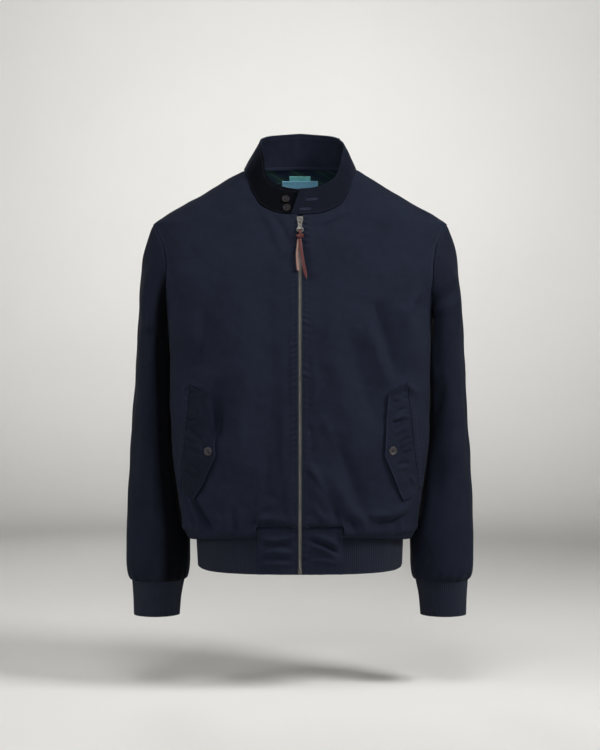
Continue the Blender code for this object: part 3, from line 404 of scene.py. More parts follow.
def bell(off, width):
    """1 at no offset, and a soft fall to nothing over a few widths."""
    return np.exp(-((off / width) ** 2))


def unit(ways):
    """Directions at unit length."""
    return ways / np.linalg.norm(ways, axis=-1, keepdims=True)


def section(rows, turn, level):
    """A body-like face. The turn runs from the centre front (0) past +X (a quarter)."""
    turn, level = np.broadcast_arrays(turn, level)
    read = columns_at(rows, BODY_COLUMNS, level)
    sine, cosine = np.sin(turn), np.cos(turn)
    depth = np.where(cosine > 0, read["front"], read["back"])
    square = np.where(cosine > 0, read["front_square"], read["back_square"])
    reach = (np.abs(sine) ** square + np.abs(cosine) ** square) ** (-1 / square)
    x = read["half_width"] * sine * reach
    y = read["middle"] - depth * cosine * reach
    z = read["z"] + read["lift"] * cosine**2
    return np.stack([x, y, z], -1)


def turn_at(rows, x, level):
    """The turn at which a face's front passes a given x."""
    share = np.clip(np.abs(x) / column(rows, BODY_COLUMNS, "half_width", level), 0, 0.9999)
    square = column(rows, BODY_COLUMNS, "front_square", level)
    return np.sign(x) * np.arctan2(share, (1 - share**square) ** (1 / square))


def normals(face, across, along):
    """Unit normals of a face by small steps, on the side where `across` x `along` points."""
    step = 2e-4
    one = face(across + step, along) - face(across - step, along)
    two = face(across, along + step) - face(across, along - step)
    return unit(np.cross(one, two))


def plain_body(turn, level):
    return section(BODY, turn, level)


def plain_tab(turn, level):
    return section(TAB, turn, level)


def plain_rib(turn, level):
    return section(RIB, turn, level)


def fold_height(folds, u, v):
    """How far a table of folds lifts the cloth at places u, v on it."""
    height = np.zeros_like(u)
    for points, before, behind, rise in folds:
        lengths = [math.dist(a, b) for a, b in zip(points, points[1:])]
        nearest = np.full(u.shape, np.inf)
        beside = np.zeros_like(u)
        along = np.zeros_like(u)
        passed = 0.0
        for (u0, v0), (u1, v1), long in zip(points, points[1:], lengths):
            run_u, run_v = (u1 - u0) / long, (v1 - v0) / long
            share = np.clip((u - u0) * run_u + (v - v0) * run_v, 0, long)
            off_u, off_v = u - u0 - share * run_u, v - v0 - share * run_v
            distance = np.hypot(off_u, off_v)
            closer = distance < nearest
            side = np.where(off_u * run_v - off_v * run_u > 0, 1.0, -1.0)
            beside = np.where(closer, side, beside)
            along = np.where(closer, (passed + share) / sum(lengths), along)
            nearest = np.where(closer, distance, nearest)
            passed += long
        width = np.where(beside > 0, before, behind)
        ends = smooth_step(4 * along * (1 - along), 0, 1)
        height += rise * np.exp(-((np.hypot(nearest, 0.0012) / width) ** 1.6)) * ends
    return height


def wander(u, v, size, seed):
    """A soft random height from -1 to 1 over places u, v, with hollows about `size` apart."""
    chance = np.random.default_rng(seed)
    total = np.zeros_like(u)
    for heading, phase, scale in zip(
        chance.uniform(0, math.tau, 7), chance.uniform(0, math.tau, 7), chance.uniform(0.7, 1.5, 7)
    ):
        wave = math.tau / (size * scale)
        bend = 0.6 * np.sin(wave * 0.5 * (v * math.cos(heading) - u * math.sin(heading)) + 2 * phase)
        total += np.sin(wave * (u * math.cos(heading) + v * math.sin(heading)) + phase + bend)
    return total / 4.0


def pucker(distance, along, spacing, reach, height, seed):
    """Small uneven ripples that run out from a sewn seam."""
    flat = np.zeros_like(along)
    wave = np.sin(math.tau * along / spacing + 2.6 * wander(along, flat, 5 * spacing, seed))
    uneven = 0.55 + 0.5 * wander(along, flat, 6 * spacing, seed + 1)
    return height * bell(distance, reach) * uneven * wave


def neck_height(turn):
    """The neckline's height at a turn from the centre front."""
    wrapped = np.abs((np.asarray(turn) + math.pi) % math.tau - math.pi)
    return column(NECK, NECK_COLUMNS, "z", np.degrees(wrapped))


def armhole(around):
    """Turn and level of the armhole at angles from the underarm (0) past the front."""
    sine, cosine = np.sin(around), np.cos(around)
    wide = np.where(sine > 0, ARMHOLE_FRONT, ARMHOLE_BACK)
    turn = math.pi / 2 - SEAM_FORWARD * (1 - cosine) / 2 - wide * sine
    return turn, ARMHOLE_MIDDLE - ARMHOLE_HALF * cosine


def from_armhole(turn, level):
    """How far a place on the body lies from the armhole seam, and the place along that seam."""
    turn = np.abs((turn + math.pi) % math.tau - math.pi)
    up = (level - ARMHOLE_MIDDLE) / ARMHOLE_HALF
    seam_turn = math.pi / 2 - SEAM_FORWARD * (1 + np.clip(up, -1, 1)) / 2
    off = seam_turn - turn
    across = off / np.where(off > 0, ARMHOLE_FRONT, ARMHOLE_BACK)
    ring = np.hypot(across, up)
    return (ring - 1) * ARMHOLE_REACH, np.arctan2(across, -up) * ARMHOLE_REACH


def seam_dip(distance, depth=0.0011, reach=0.0016):
    """The groove where two pieces meet at a seam."""
    return -depth * bell(distance, reach)


def body_height(turn, level, points):
    """All the folds, seam grooves and puckers on the body's cloth."""
    x, z = points[..., 0], points[..., 2]
    wrapped = (turn + math.pi) % math.tau - math.pi
    front = np.cos(wrapped) > 0
    height = np.where(front, fold_height(FRONT_FOLDS, x, z), fold_height(BACK_FOLDS, x, z))
    seam, along = from_armhole(turn, level)
    height += seam_dip(seam) + pucker(seam - 0.004, along, 0.011, 0.009, 0.0006, 5)
    height += seam_dip(neck_height(turn) - level, 0.0008)
    zip_side = np.where(front, np.abs(x) - FRONT_EDGE, 1.0)
    height += pucker(zip_side - 0.004, z + 0.3 * (x > 0) + 0.4 * zip_side, 0.0092, 0.008, 0.0012, 9)
    height += 0.0008 * wander(x, z, 0.075, 21) + 0.0004 * wander(x, z, 0.034, 23)
    over_tab = smooth_step(TAB_WIDTH + 0.004 - np.abs(x), 0, 0.008) * front
    above = z - HEM_SEAM - (TAB_TOP - HEM_SEAM) * over_tab
    gather = 0.0020 * wander(0.2 * wrapped, 0.3 * z, 0.022, 27) * bell(above - 0.006, 0.022)
    gather += pucker(above - 0.005, 0.2 * wrapped, 0.0105, 0.008, 0.0011, 31)
    sag = (BLOUSE + 0.0012 * over_tab) * bell(above - 0.008, 0.008)
    sag *= 1 + 0.4 * wander(x, 0 * z, 0.05, 29)
    return (height + gather) * smooth_step(above, 0, 0.007) + sag * smooth_step(above, 0, 0.003)


def body(turn, level):
    """The body's outer face with its folds."""
    turn, level = np.broadcast_arrays(turn, level)
    plain = plain_body(turn, level)
    rise = body_height(turn, level, plain)
    return plain + normals(plain_body, turn, level) * rise[..., None]


def sleeve_plain(around, ring):
    """The sleeve's rings as plain ovals."""
    read = columns_at(SLEEVE, SLEEVE_COLUMNS, ring)
    sine, cosine = np.sin(around), np.cos(around)
    x = (read["outer_x"] + read["inner_x"]) / 2 - (read["outer_x"] - read["inner_x"]) / 2 * cosine
    z = (read["outer_z"] + read["inner_z"]) / 2 - (read["outer_z"] - read["inner_z"]) / 2 * cosine
    y = read["middle"] - read["half_depth"] * sine
    return np.stack([x, y, z], -1)


def body_side(y, z):
    """The body's x at the side, at a depth and height."""
    read = columns_at(BODY, BODY_COLUMNS, z)
    behind = y > read["middle"]
    depth = np.where(behind, read["back"], read["front"])
    square = np.where(behind, read["back_square"], read["front_square"])
    share = np.clip(np.abs(y - read["middle"]) / depth, 0, 1)
    return read["half_width"] * (1 - share**square) ** (1 / square)


def clear_sleeve(around, ring):
    """The right sleeve's form: it starts on the armhole and stays clear of the body."""
    around, ring = np.broadcast_arrays(around, ring)
    plain = sleeve_plain(around, ring)
    turn, level = armhole(around)
    seam = plain_body(turn, level) - sleeve_plain(around, 0.0)
    points = plain + seam * (1 - smooth_step(ring, 0, 4))[..., None]
    clear = body_side(points[..., 1], points[..., 2]) + SLEEVE_CLEAR * np.clip(ring, 0, 1)
    apart = points[..., 0] - clear
    pushed = clear + (apart + np.sqrt(apart**2 + 0.003**2)) / 2
    inboard = smooth_step(np.cos(around), -0.2, 0.2) * smooth_step(ring, 0, 1.5)
    points[..., 0] += (pushed - points[..., 0]) * inboard
    return points


def cuff(around, z):
    """The right cuff's outer face."""
    around, z = np.broadcast_arrays(around, z)
    read = columns_at(CUFF, CUFF_COLUMNS, z)
    half = (read["outer_x"] - read["inner_x"]) / 2
    x = read["outer_x"] - half - half * np.cos(around)
    y = read["middle"] - read["half_depth"] * np.sin(around)
    return np.stack([x, y, z], -1)


def collar(turn, height):
    """The collar's outer face: turn from the centre back in degrees, height from 0 to 1."""
    turn, height = np.broadcast_arrays(turn, height)

    def base(at):
        angle = math.pi - np.radians(at)
        return plain_body(angle, neck_height(angle))

    eased = sum(base(turn + apart) for apart in (-10, -6, -2, 2, 6, 10)) / 6
    run = base(turn + 7) - base(turn - 7)
    flat = run / np.linalg.norm(run[..., :2], axis=-1, keepdims=True)
    inward = np.stack([flat[..., 1], -flat[..., 0], np.zeros_like(turn)], -1)
    size = np.abs(turn)
    left = column(COLLAR, COLLAR_COLUMNS, "lean_left", size)
    right = column(COLLAR, COLLAR_COLUMNS, "lean_right", size)
    lean = np.where(turn < 0, left, right) * height
    lap = COLLAR_LAP * smooth_step(-turn, COLLAR_LAP_FROM, COLLAR_LAP_TO)
    lap = lap + COLLAR_TUCK * smooth_step(-height, 0, 0.04)
    bulge = 0.0015 * np.sin(math.pi * height)
    rise = column(COLLAR, COLLAR_COLUMNS, "rise", size) * height + COLLAR_SEAM
    points = base(turn) + (eased - base(turn)) * np.clip(2 * height, 0, 1)[..., None]
    points += inward * (lean + lap - bulge)[..., None]
    points[..., 2] += rise
    return points


# ---------------------------------------------------------------- grids over the forms


def spread(length, step):
    """Shares from 0 to 1 along a length, about a step apart and finer by both edges."""
    edge = np.array([0.0, 0.0007, 0.0015, 0.0026, 0.0042]) / length
    inside = np.linspace(edge[-1], 1 - edge[-1], max(3, round(length / step)))
    return np.concatenate([edge[:-1], inside, 1 - edge[-2::-1]])


def passed_along(line):
    """The way passed at each place of a line, from its start."""
    return np.concatenate([[0], np.cumsum(np.linalg.norm(np.diff(line, axis=0), axis=1))])


def side_levels(step):
    """Levels of the side edge from the hem up to the neck, and how far each opens the armhole."""
    top = neck_height(math.pi / 2 - SEAM_FORWARD)
    hem = HEM_LEVEL + (TAB_TOP - HEM_LEVEL) * spread(0.046, step * 0.7)
    side = TAB_TOP + (ARMHOLE_BOTTOM - TAB_TOP) * np.linspace(0, 1, round(0.344 / step))
    below = np.concatenate([hem[:-1], side[:-1]])
    angles = np.pi * np.linspace(0, 1, round(0.22 / step))
    above = (ARMHOLE_TOP + (top - ARMHOLE_TOP) * spread(0.19, step))[1:]
    levels = np.concatenate([below, ARMHOLE_MIDDLE - ARMHOLE_HALF * np.cos(angles), above])
    around = np.concatenate([np.zeros(len(below)), angles, np.full(len(above), math.pi)])
    return levels, around


def half_gap_turn(level):
    """Half a seam gap as a turn at the side of the body."""
    return SEAM_GAP / 2 / column(BODY, BODY_COLUMNS, "front", level)


def tilted(level, neck):
    """The level in the middle of a panel: near the neck it leans towards the neckline."""
    top = neck_height(math.pi / 2 - SEAM_FORWARD)
    share = (level - TILT_FROM) / (top - TILT_FROM)
    return np.where(level > TILT_FROM, TILT_FROM + share * (neck - TILT_FROM), level)


TAB_ACROSS = 0.23


def front_columns(step):
    """The shares across a front at which its columns stand, those over the hem tab first."""
    over_tab = TAB_ACROSS * spread(TAB_WIDTH - FRONT_EDGE, step)
    beyond = TAB_ACROSS + (1 - TAB_ACROSS) * spread(0.215, step)
    return np.concatenate([over_tab[:-1], beyond])


def front_grid(step):
    """Turns and levels of the viewer's-right front, rows up from the hem, columns from the zip."""
    side, around = side_levels(step)
    edge = armhole(around)[0] - half_gap_turn(side)
    across = front_columns(step)
    zip_turn = turn_at(BODY, FRONT_EDGE, tilted(side, FRONT_NECK))
    tab_turn = turn_at(BODY, TAB_WIDTH, np.minimum(side, TILT_FROM))
    even_turn = zip_turn + (edge - zip_turn) * TAB_ACROSS
    tab_turn = tab_turn + (even_turn - tab_turn) * smooth_step(side, TILT_FROM, ARMHOLE_BOTTOM)
    inner = zip_turn[:, None] + (tab_turn - zip_turn)[:, None] * across / TAB_ACROSS
    outer = tab_turn[:, None] + (edge - tab_turn)[:, None] * (across - TAB_ACROSS) / (1 - TAB_ACROSS)
    turn = np.where(across < TAB_ACROSS, inner, outer)
    top = neck_height(math.pi / 2 - SEAM_FORWARD)
    towards_side = (neck_height(turn) - FRONT_NECK) / (top - FRONT_NECK)
    middle = tilted(side, FRONT_NECK)[:, None]
    level = middle + (side[:, None] - middle) * towards_side
    level[:, -1] = side
    level[-1] = neck_height(turn[-1])
    return turn, level


def back_grid(step):
    """Turns and levels of the back, rows up from the hem, columns from the viewer's right."""
    side, around = side_levels(step)
    edge = armhole(-around)[0] + half_gap_turn(side)
    edge = np.where(around >= math.pi, math.pi / 2 - SEAM_FORWARD + half_gap_turn(side), edge)
    across = 2 * spread(0.57, step) - 1
    turn = math.pi + (math.pi - edge)[:, None] * across
    top = neck_height(math.pi / 2 - SEAM_FORWARD)
    towards_side = (neck_height(turn) - BACK_NECK) / (top - BACK_NECK)
    middle = tilted(side, BACK_NECK)[:, None]
    level = middle + (side[:, None] - middle) * towards_side
    level[:, 0] = side
    level[:, -1] = side
    level[-1] = neck_height(turn[-1])
    return turn, level


def sleeve_rings(step):
    """Ring numbers an even step apart down the sleeve's front, finer by its two ends."""
    fine = np.linspace(0, SLEEVE[-1][0], 801)
    line = sleeve_plain(math.pi / 2, fine)
    passed = passed_along(line)
    return np.interp(spread(passed[-1], step) * passed[-1], passed, fine)


def collar_turns(step, height):
    """Turns spaced evenly along the neckline, the over end slanting with the height."""
    fine = np.linspace(-COLLAR_UNDER_END, COLLAR_OVER_END, 1441)
    angle = math.pi - np.radians(fine)
    line = plain_body(angle, neck_height(angle))
    passed = passed_along(line)
    turns = np.interp(spread(passed[-1], step) * passed[-1], passed, fine)
    slant = COLLAR_OVER_SLANT * smooth_step(turns, COLLAR_LAP_FROM, COLLAR_OVER_END)
    return turns[None, :] - slant[None, :] * height[:, None]


def on_front(x, z, out):
    """Places over the front's cloth at given x and z, moved out along its normal."""
    turn = turn_at(BODY, x, z)
    return body(turn, z) + normals(plain_body, turn, z) * np.asarray(out)[..., None]


def flap_places(side, down, across):
    """Places of a pocket flap on the front, rows down from its top, columns from its seam."""
    corners = {name: np.array(place) for name, place in zip(FLAP_COLUMNS, FLAPS[side])}
    share = flap_point_share(side)
    down = down[:, None]
    seam = corners["seam_top"] + (corners["seam_low"] - corners["seam_top"]) * down
    upper_edge = corners["corner"] + (corners["point"] - corners["corner"]) * down / share
    low = (down - share) / (1 - share)
    lower_edge = corners["point"] + (corners["tip"] - corners["point"]) * low
    edge = np.where(down < share, upper_edge, lower_edge)
    places = seam[:, None] + (edge - seam)[:, None] * across[:, None]
    return places[..., 0], places[..., 1]


def from_flap_seam(side, x, z):
    """How far a place lies inside a flap's seam (below zero outboard), and how far down it."""
    top, low = (np.array(place) for place in FLAPS[side][:2])
    run = (low - top) / math.dist(top, low)
    off = (z - top[1]) * run[0] - (x - top[0]) * run[1]
    return (off if side == "left" else -off), (x - top[0]) * run[0] + (z - top[1]) * run[1]


def flap_height(side, x, z):
    """How far the flap, and the stitched band outboard of its seam, stand off the front."""
    off, along = from_flap_seam(side, x, z)
    length = math.dist(*FLAPS[side][:2])
    seed = 91 + len(side)
    flap = 0.0018 + FLAP_LIFT * (0.3 + 1.2 * np.clip(off / FLAP_ACROSS, 0, 1))
    creases = fold_height(FLAP_FOLDS[side], x, z) + 0.0004 * wander(x, z, 0.013, seed + 20)
    flap = flap + creases * smooth_step(off, 0.001, 0.005) + 0.0006 * wander(x, z, 0.04, seed)
    flap = flap + pucker(off - 0.003, along, 0.009, 0.006, 0.0006, seed + 3)
    band = 0.0021 * smooth_step(off, -FLAP_BAND, -0.72 * FLAP_BAND) - 0.0008
    band = band + pucker(off + 0.004, along, 0.0080, 0.004, 0.0007, seed + 5)
    ends = smooth_step(along, 0, 0.006) * smooth_step(length - along, 0, 0.006)
    band = (band + 0.0008) * ends * smooth_step(-off, -0.0003, 0.0010) - 0.0008
    return np.where(off > 0, (flap + 0.0004) * smooth_step(off, -0.0003, 0.0026) - 0.0004, band)


def flap_grid(side, step):
    """Places of a flap and of the band beside its seam, with their distance to the free edge."""
    share = flap_point_share(side)
    down = np.concatenate([share * spread(0.10, step), share + (1 - share) * spread(0.085, step)[1:]])
    across = np.concatenate([[0.012, 0.03, 0.06], spread(FLAP_ACROSS, step)[2:]])
    x, z = flap_places(side, down, across)
    seam_x, seam_z = flap_places(side, down, np.array([0.0]))
    (top_x, top_z), (low_x, low_z) = FLAPS[side][:2]
    length = math.dist((top_x, top_z), (low_x, low_z)) * (1 if side == "left" else -1)
    apart = np.array([1.0, 0.86, 0.74, 0.64, 0.52, 0.4, 0.28, 0.17, 0.09, 0.04, 0.01]) * FLAP_BAND
    band_x = seam_x + (low_z - top_z) / length * apart
    band_z = seam_z - (low_x - top_x) / length * apart
    free = np.broadcast_to((1 - across) * FLAP_ACROSS, x.shape)
    return (
        np.concatenate([band_x, x], 1),
        np.concatenate([band_z, z], 1),
        np.concatenate([np.full(band_x.shape, FLAP_ACROSS), free], 1),
    )


def flap_point_share(side):
    """How far down a flap its point lies, as a share of its free edge."""
    corners = dict(zip(FLAP_COLUMNS, FLAPS[side]))
    upper = math.dist(corners["point"], corners["corner"])
    lower = math.dist(corners["tip"], corners["point"])
    return upper / (upper + lower)


def front_line(z):
    """Places of the centre front's face at given heights, the hem tabs' face at the bottom."""
    upper = plain_body(0.0, np.maximum(z, TAB_TOP))
    lower = plain_tab(0.0, z)
    return np.where((z > TAB_TOP)[..., None], upper, lower)


# ---------------------------------------------------------------- making pieces


def deselect():
    """Nothing selected, so that an operator acts on its own piece only."""
    for thing in bpy.context.view_layer.objects:
        thing.select_set(False)


def hold(piece):
    """The piece selected by itself and active."""
    deselect()
    piece.select_set(True)
    bpy.context.view_layer.objects.active = piece
    return piece


def apply_modifier(piece, kind, **settings):
    """Adds a modifier with its settings and applies it."""
    hold(piece)
    change = piece.modifiers.new(kind.title(), kind)
    for key, value in settings.items():
        setattr(change, key, value)
    bpy.ops.object.modifier_apply(modifier=change.name)


def new_piece(name, points, faces, finish):
    """A named mesh object from places and faces."""
    mesh = bpy.data.meshes.new(name)
    mesh.from_pydata(np.asarray(points).reshape(-1, 3).tolist(), [], faces)
    mesh.materials.append(finish)
    mesh.shade_smooth()
    piece = bpy.data.objects.new(name, mesh)
    bpy.context.scene.collection.objects.link(piece)
    return piece


def place_in_jacket(piece, slot, *nodes, body_name="jacket"):
    """The piece on its body, standing for its frame nodes, which it hides. The slot is not used."""
    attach(piece, body_name)
    if nodes:
        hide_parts(*nodes)
    return piece


def flat_map(points, tube):
    """Places on the flat cloth, in metres, for a grid of points: across and along."""
    if tube:
        points = np.concatenate([points, points[:, :1]], axis=1)
    across = np.linalg.norm(np.diff(points, axis=1), axis=-1)
    along = np.linalg.norm(np.diff(points, axis=0), axis=-1)
    u = np.concatenate([np.zeros((len(points), 1)), np.cumsum(across, axis=1)], axis=1)
    v = np.concatenate([np.zeros((1, points.shape[1])), np.cumsum(along, axis=0)], axis=0)
    return np.stack([u, v], -1)


def add_cloth(name, points, wall, finish, flip=False, tube=False, keep=None, wear=None, rim=0.0):
    """One piece of cloth from a grid of places on its outer face, with its wall and flat map."""
    rows, columns = points.shape[:2]
    row, col = np.mgrid[0 : rows - 1, 0 : columns if tube else columns - 1]
    chosen = np.ones(row.shape, bool) if keep is None else keep
    row, col = row[chosen], col[chosen]
    corners = [(row, col), (row, col + 1), (row + 1, col + 1), (row + 1, col)]
    if flip:
        corners = corners[::-1]
    faces = np.stack([r * columns + c % columns for r, c in corners], -1)
    piece = new_piece(name, points, faces.tolist(), finish)
    flat = flat_map(points, tube)
    spots = np.stack([flat[r, c] for r, c in corners], 1)
    layer = piece.data.uv_layers.new(name="flat")
    layer.data.foreach_set("uv", spots.reshape(-1))
    shade = piece.data.attributes.new("wear", "FLOAT", "POINT")
    amounts = np.zeros(rows * columns) if wear is None else np.clip(wear, -1, 1).reshape(-1)
    shade.data.foreach_set("value", amounts)
    if keep is not None:
        drop_loose(piece)
    apply_modifier(piece, "SOLIDIFY", thickness=wall, offset=-1.0, use_quality_normals=True)
    if rim:
        apply_modifier(
            piece, "BEVEL", width=rim, segments=2, limit_method="ANGLE", angle_limit=math.radians(60)
        )
    piece.data.shade_smooth()
    return piece


def drop_loose(piece):
    """Takes out the places that no face uses."""
    work = bmesh.new()
    work.from_mesh(piece.data)
    loose = [vertex for vertex in work.verts if not vertex.link_faces]
    bmesh.ops.delete(work, geom=loose, context="VERTS")
    work.to_mesh(piece.data)
    work.free()


def joined(shapes):
    """Several sets of places and faces as one."""
    points, faces = [], []
    for more, sides in shapes:
        faces += [tuple(len(points) + i for i in side) for side in sides]
        points += list(more)
    return points, faces


STITCH_RING = ((1.0, 0.0), (0.5, 0.87), (-0.5, 0.87), (-1.0, 0.0), (-0.5, -0.87), (0.5, -0.87))


def stitch_shapes(line, out, settings):
    """Places and faces of a row of stitches along a line that lies on cloth facing `out`."""
    passed = passed_along(line)
    pitch = settings.stitch_length + settings.stitch_gap
    count = max(1, int(passed[-1] / pitch))
    starts = (np.arange(count) + 0.5 * settings.stitch_gap / pitch) * passed[-1] / count
    radius = settings.thread_thick / 2
    points, faces = [], []
    for start in starts:
        at = start + settings.stitch_length * np.array([0.0, 0.15, 0.5, 0.85, 1.0])
        middle = np.stack([np.interp(at, passed, line[:, i]) for i in range(3)], -1)
        face = np.stack([np.interp(at, passed, out[:, i]) for i in range(3)], -1)
        run = middle[-1] - middle[0]
        run /= np.linalg.norm(run)
        side = unit(np.cross(face, run))
        middle = middle + face * (radius * np.array([-0.9, 0.35, 0.7, 0.35, -0.9]))[:, None]
        first = len(points)
        points.append(middle[0])
        for i in (1, 2, 3):
            for across, up in STITCH_RING:
                points.append(middle[i] + radius * (side[i] * across + face[i] * up * 0.8))
        points.append(middle[-1])
        for k in range(6):
            other = (k + 1) % 6
            faces.append((first, first + 1 + other, first + 1 + k))
            for ring in (0, 6):
                a, b = first + 1 + ring + k, first + 1 + ring + other
                faces.append((a, b, b + 6, a + 6))
            faces.append((first + 13 + k, first + 13 + other, first + 19))
    return points, faces


def add_stitches(name, lines, settings, finish, body_name="jacket"):
    """Rows of stitches as one piece of thread, from pairs of line and outward directions."""
    points, faces = joined(
        stitch_shapes(np.asarray(line), np.asarray(out), settings) for line, out in lines
    )
    piece = new_piece(name, points, faces, finish)
    return place_in_jacket(piece, "twill", body_name=body_name)


# ---------------------------------------------------------------- finishes

MIX_FIRST, MIX_SECOND, MIX_RESULT = 6, 7, 2
WAVE_TURNS = math.tau / 20


def add_node(tree, kind, inputs=None, **settings):
    """A shader node with its settings, its inputs set or linked."""
    made = tree.nodes.new("ShaderNode" + kind)
    for key, value in settings.items():
        setattr(made, key, value)
    for socket, value in (inputs or {}).items():
        if isinstance(value, bpy.types.NodeSocket):
            tree.links.new(value, made.inputs[socket])
        else:
            made.inputs[socket].default_value = value
    return made


def new_finish(name, **constants):
    """A material with its shader's constants set on the shader's own sockets."""
    made = bpy.data.materials.new(name)
    made.use_nodes = True
    shader = made.node_tree.nodes["Principled BSDF"]
    for socket, value in constants.items():
        shader.inputs[socket.replace("_", " ")].default_value = value
    return made, made.node_tree


def wire(made, **sockets):
    """The material with outputs linked to its shader's sockets."""
    shader = made.node_tree.nodes["Principled BSDF"]
    for socket, output in sockets.items():
        made.node_tree.links.new(output, shader.inputs[socket.replace("_", " ")])
    return made


def shade(colour, factor):
    """A linear colour made brighter or darker."""
    return tuple(min(1.0, part * factor) for part in colour) + (1.0,)


def flat_place(tree):
    return add_node(tree, "UVMap", uv_map="flat").outputs["UV"]


def own_place(tree):
    return add_node(tree, "TexCoord").outputs["Object"]


def noise(tree, place, scale, detail, **more):
    inputs = {"Vector": place, "Scale": scale, "Detail": detail, **more}
    return add_node(tree, "TexNoise", inputs).outputs["Fac"]


def waves(tree, place, pitch, axis, inputs):
    """Even waves a pitch apart along an axis."""
    inputs = {"Vector": place, "Scale": WAVE_TURNS / pitch, **inputs}
    return add_node(tree, "TexWave", inputs, bands_direction=axis).outputs["Fac"]


def number(tree, operation, *values):
    return add_node(tree, "Math", dict(enumerate(values)), operation=operation).outputs[0]


def between(tree, share, first, second):
    """A colour from the first to the second as the share goes from 0 to 1."""
    inputs = {0: share, MIX_FIRST: first, MIX_SECOND: second}
    return add_node(tree, "Mix", inputs, data_type="RGBA").outputs[MIX_RESULT]


def ranged(tree, value, low, high, to_low, to_high):
    """A value's part between low and high, spread over another range."""
    inputs = {"Value": value, "From Min": low, "From Max": high, "To Min": to_low, "To Max": to_high}
    return add_node(tree, "MapRange", inputs).outputs["Result"]


def bumped(tree, height, strength, distance, **more):
    inputs = {"Height": height, "Strength": strength, "Distance": distance, **more}
    return add_node(tree, "Bump", inputs).outputs["Normal"]


def twill_finish(colour):
    """Garment-washed cotton twill, woven 2/1 and dyed as a finished garment.

    The eye sees a matt cloth with a faint steep diagonal, cloudy where the wash took dye off and
    paler on the seams' ridges. Below zero, the wear attribute paints shade into the
    colour: in the stitched grooves and over the shaded parts of the collar, sleeves and flaps.
    """
    made, tree = new_finish(
        "garment_washed_twill",
        Roughness=0.88, Specular_IOR_Level=0.05, Sheen_Weight=0.01, Sheen_Roughness=0.4,
    )
    place = own_place(tree)
    crease = noise(tree, place, 95.0, 3.0)
    wear = add_node(tree, "Attribute", attribute_name="wear").outputs["Fac"]
    washed = between(tree, noise(tree, place, 14.0, 4.0), shade(colour, 0.7), shade(colour, 1.35))
    creased = between(tree, ranged(tree, crease, 0.35, 0.7, 0.0, 0.35), washed, shade(colour, 1.5))
    # Painted shade: a wear below zero darkens the colour towards a near-black navy.
    deep = between(tree, number(tree, "MULTIPLY", wear, -1.0), creased, shade(colour, 0.12))
    worn_and_shaded = between(tree, wear, deep, shade(colour, 2.6))
    # The real ribs lie 0.6 mm apart; they are drawn 1.2 mm apart so that they show.
    turned = add_node(
        tree, "Mapping", {"Vector": flat_place(tree), "Rotation": (0.0, 0.0, math.radians(-63))}
    ).outputs["Vector"]
    ribs = waves(tree, turned, 0.0012, "X", {"Distortion": 0.6, "Detail": 1.0, "Detail Scale": 3.0})
    soft = bumped(tree, crease, 0.4, 0.0012)
    return wire(made, Base_Color=worn_and_shaded, Normal=bumped(tree, ribs, 0.5, 0.00015, Normal=soft))


def rib_finish(colour):
    """Rib-knit cotton, knitted two by two and dyed.

    The eye sees a dull, slightly hairy knit: its ribs are modelled, and the loops along each rib
    break their light into small chevrons.
    """
    made, tree = new_finish(
        "rib_knit_cotton",
        Roughness=0.95, Specular_IOR_Level=0.15, Sheen_Weight=0.05, Sheen_Roughness=0.5,
    )
    high = add_node(tree, "Attribute", attribute_name="wear").outputs["Fac"]
    cloud = noise(tree, own_place(tree), 40.0, 4.0)
    mixed = between(tree, cloud, shade(colour, 0.75), shade(colour, 1.3))
    # Loops 1.1 mm tall along the ribs.
    loops = waves(tree, flat_place(tree), 0.0011, "Y", {"Distortion": 1.0, "Detail Scale": 2.0})
    # Painted shade: the valleys between the modelled ribs are darkened by the rib height in wear.
    shaded_valleys = between(tree, high, shade(colour, 0.35), mixed)
    return wire(made, Base_Color=shaded_valleys, Normal=bumped(tree, loops, 0.6, 0.0003))


def tartan_finish(green, navy):
    """Brushed cotton lining in a plain dark tartan, woven in dyed yarns.

    The eye sees broad navy bands over dark green, darker still where two bands cross, with thin
    pale lines, all softened by the brushed nap.
    """
    made, tree = new_finish(
        "brushed_tartan_cotton",
        Roughness=0.95, Specular_IOR_Level=0.12, Sheen_Weight=0.04, Sheen_Roughness=0.5,
    )
    flat = flat_place(tree)
    split = add_node(tree, "SeparateXYZ", {"Vector": flat})
    sett = 0.044
    bands, lines = [], []
    for axis in ("X", "Y"):
        part = number(tree, "FRACT", number(tree, "MULTIPLY", split.outputs[axis], 1 / sett))
        bands.append(number(tree, "LESS_THAN", part, 0.5))
        size = number(tree, "ABSOLUTE", number(tree, "SUBTRACT", part, 0.75))
        lines.append(number(tree, "LESS_THAN", size, 0.022))
    half = number(tree, "MULTIPLY", number(tree, "ADD", *bands), 0.5)
    pale = number(tree, "MULTIPLY", number(tree, "ADD", *lines), 0.4)
    ground = between(tree, half, shade(green, 1.0), shade(navy, 1.0))
    nap = noise(tree, flat, 900.0, 2.0)
    return wire(
        made,
        Base_Color=between(tree, pale, ground, shade(green, 4.0)), Normal=bumped(tree, nap, 0.4, 0.0003),
    )


def woven_finish(name, colour, pitch):
    """Damask-woven polyester or cotton tape, of fine even threads.

    The eye sees a smooth plain weave with a faint thread grid and a soft satin light.
    """
    made, tree = new_finish(name, Roughness=0.7, Specular_IOR_Level=0.3, Sheen_Weight=0.05)
    place = own_place(tree)
    mixed = between(tree, noise(tree, place, 180.0, 2.0), shade(colour, 0.8), shade(colour, 1.2))
    threads = [waves(tree, place, pitch, axis, {"Distortion": 0.3}) for axis in ("X", "Z")]
    grid = number(tree, "MULTIPLY", *threads)
    return wire(made, Base_Color=mixed, Normal=bumped(tree, grid, 0.5, 0.0001))


def cloudy(made, tree, colour, dark, pale, scale, detail, **more):
    """The material coloured by soft clouds from a darker to a paler shade of its colour."""
    cloud = noise(tree, own_place(tree), scale, detail, **more)
    return wire(made, Base_Color=between(tree, cloud, shade(colour, dark), shade(colour, pale)))


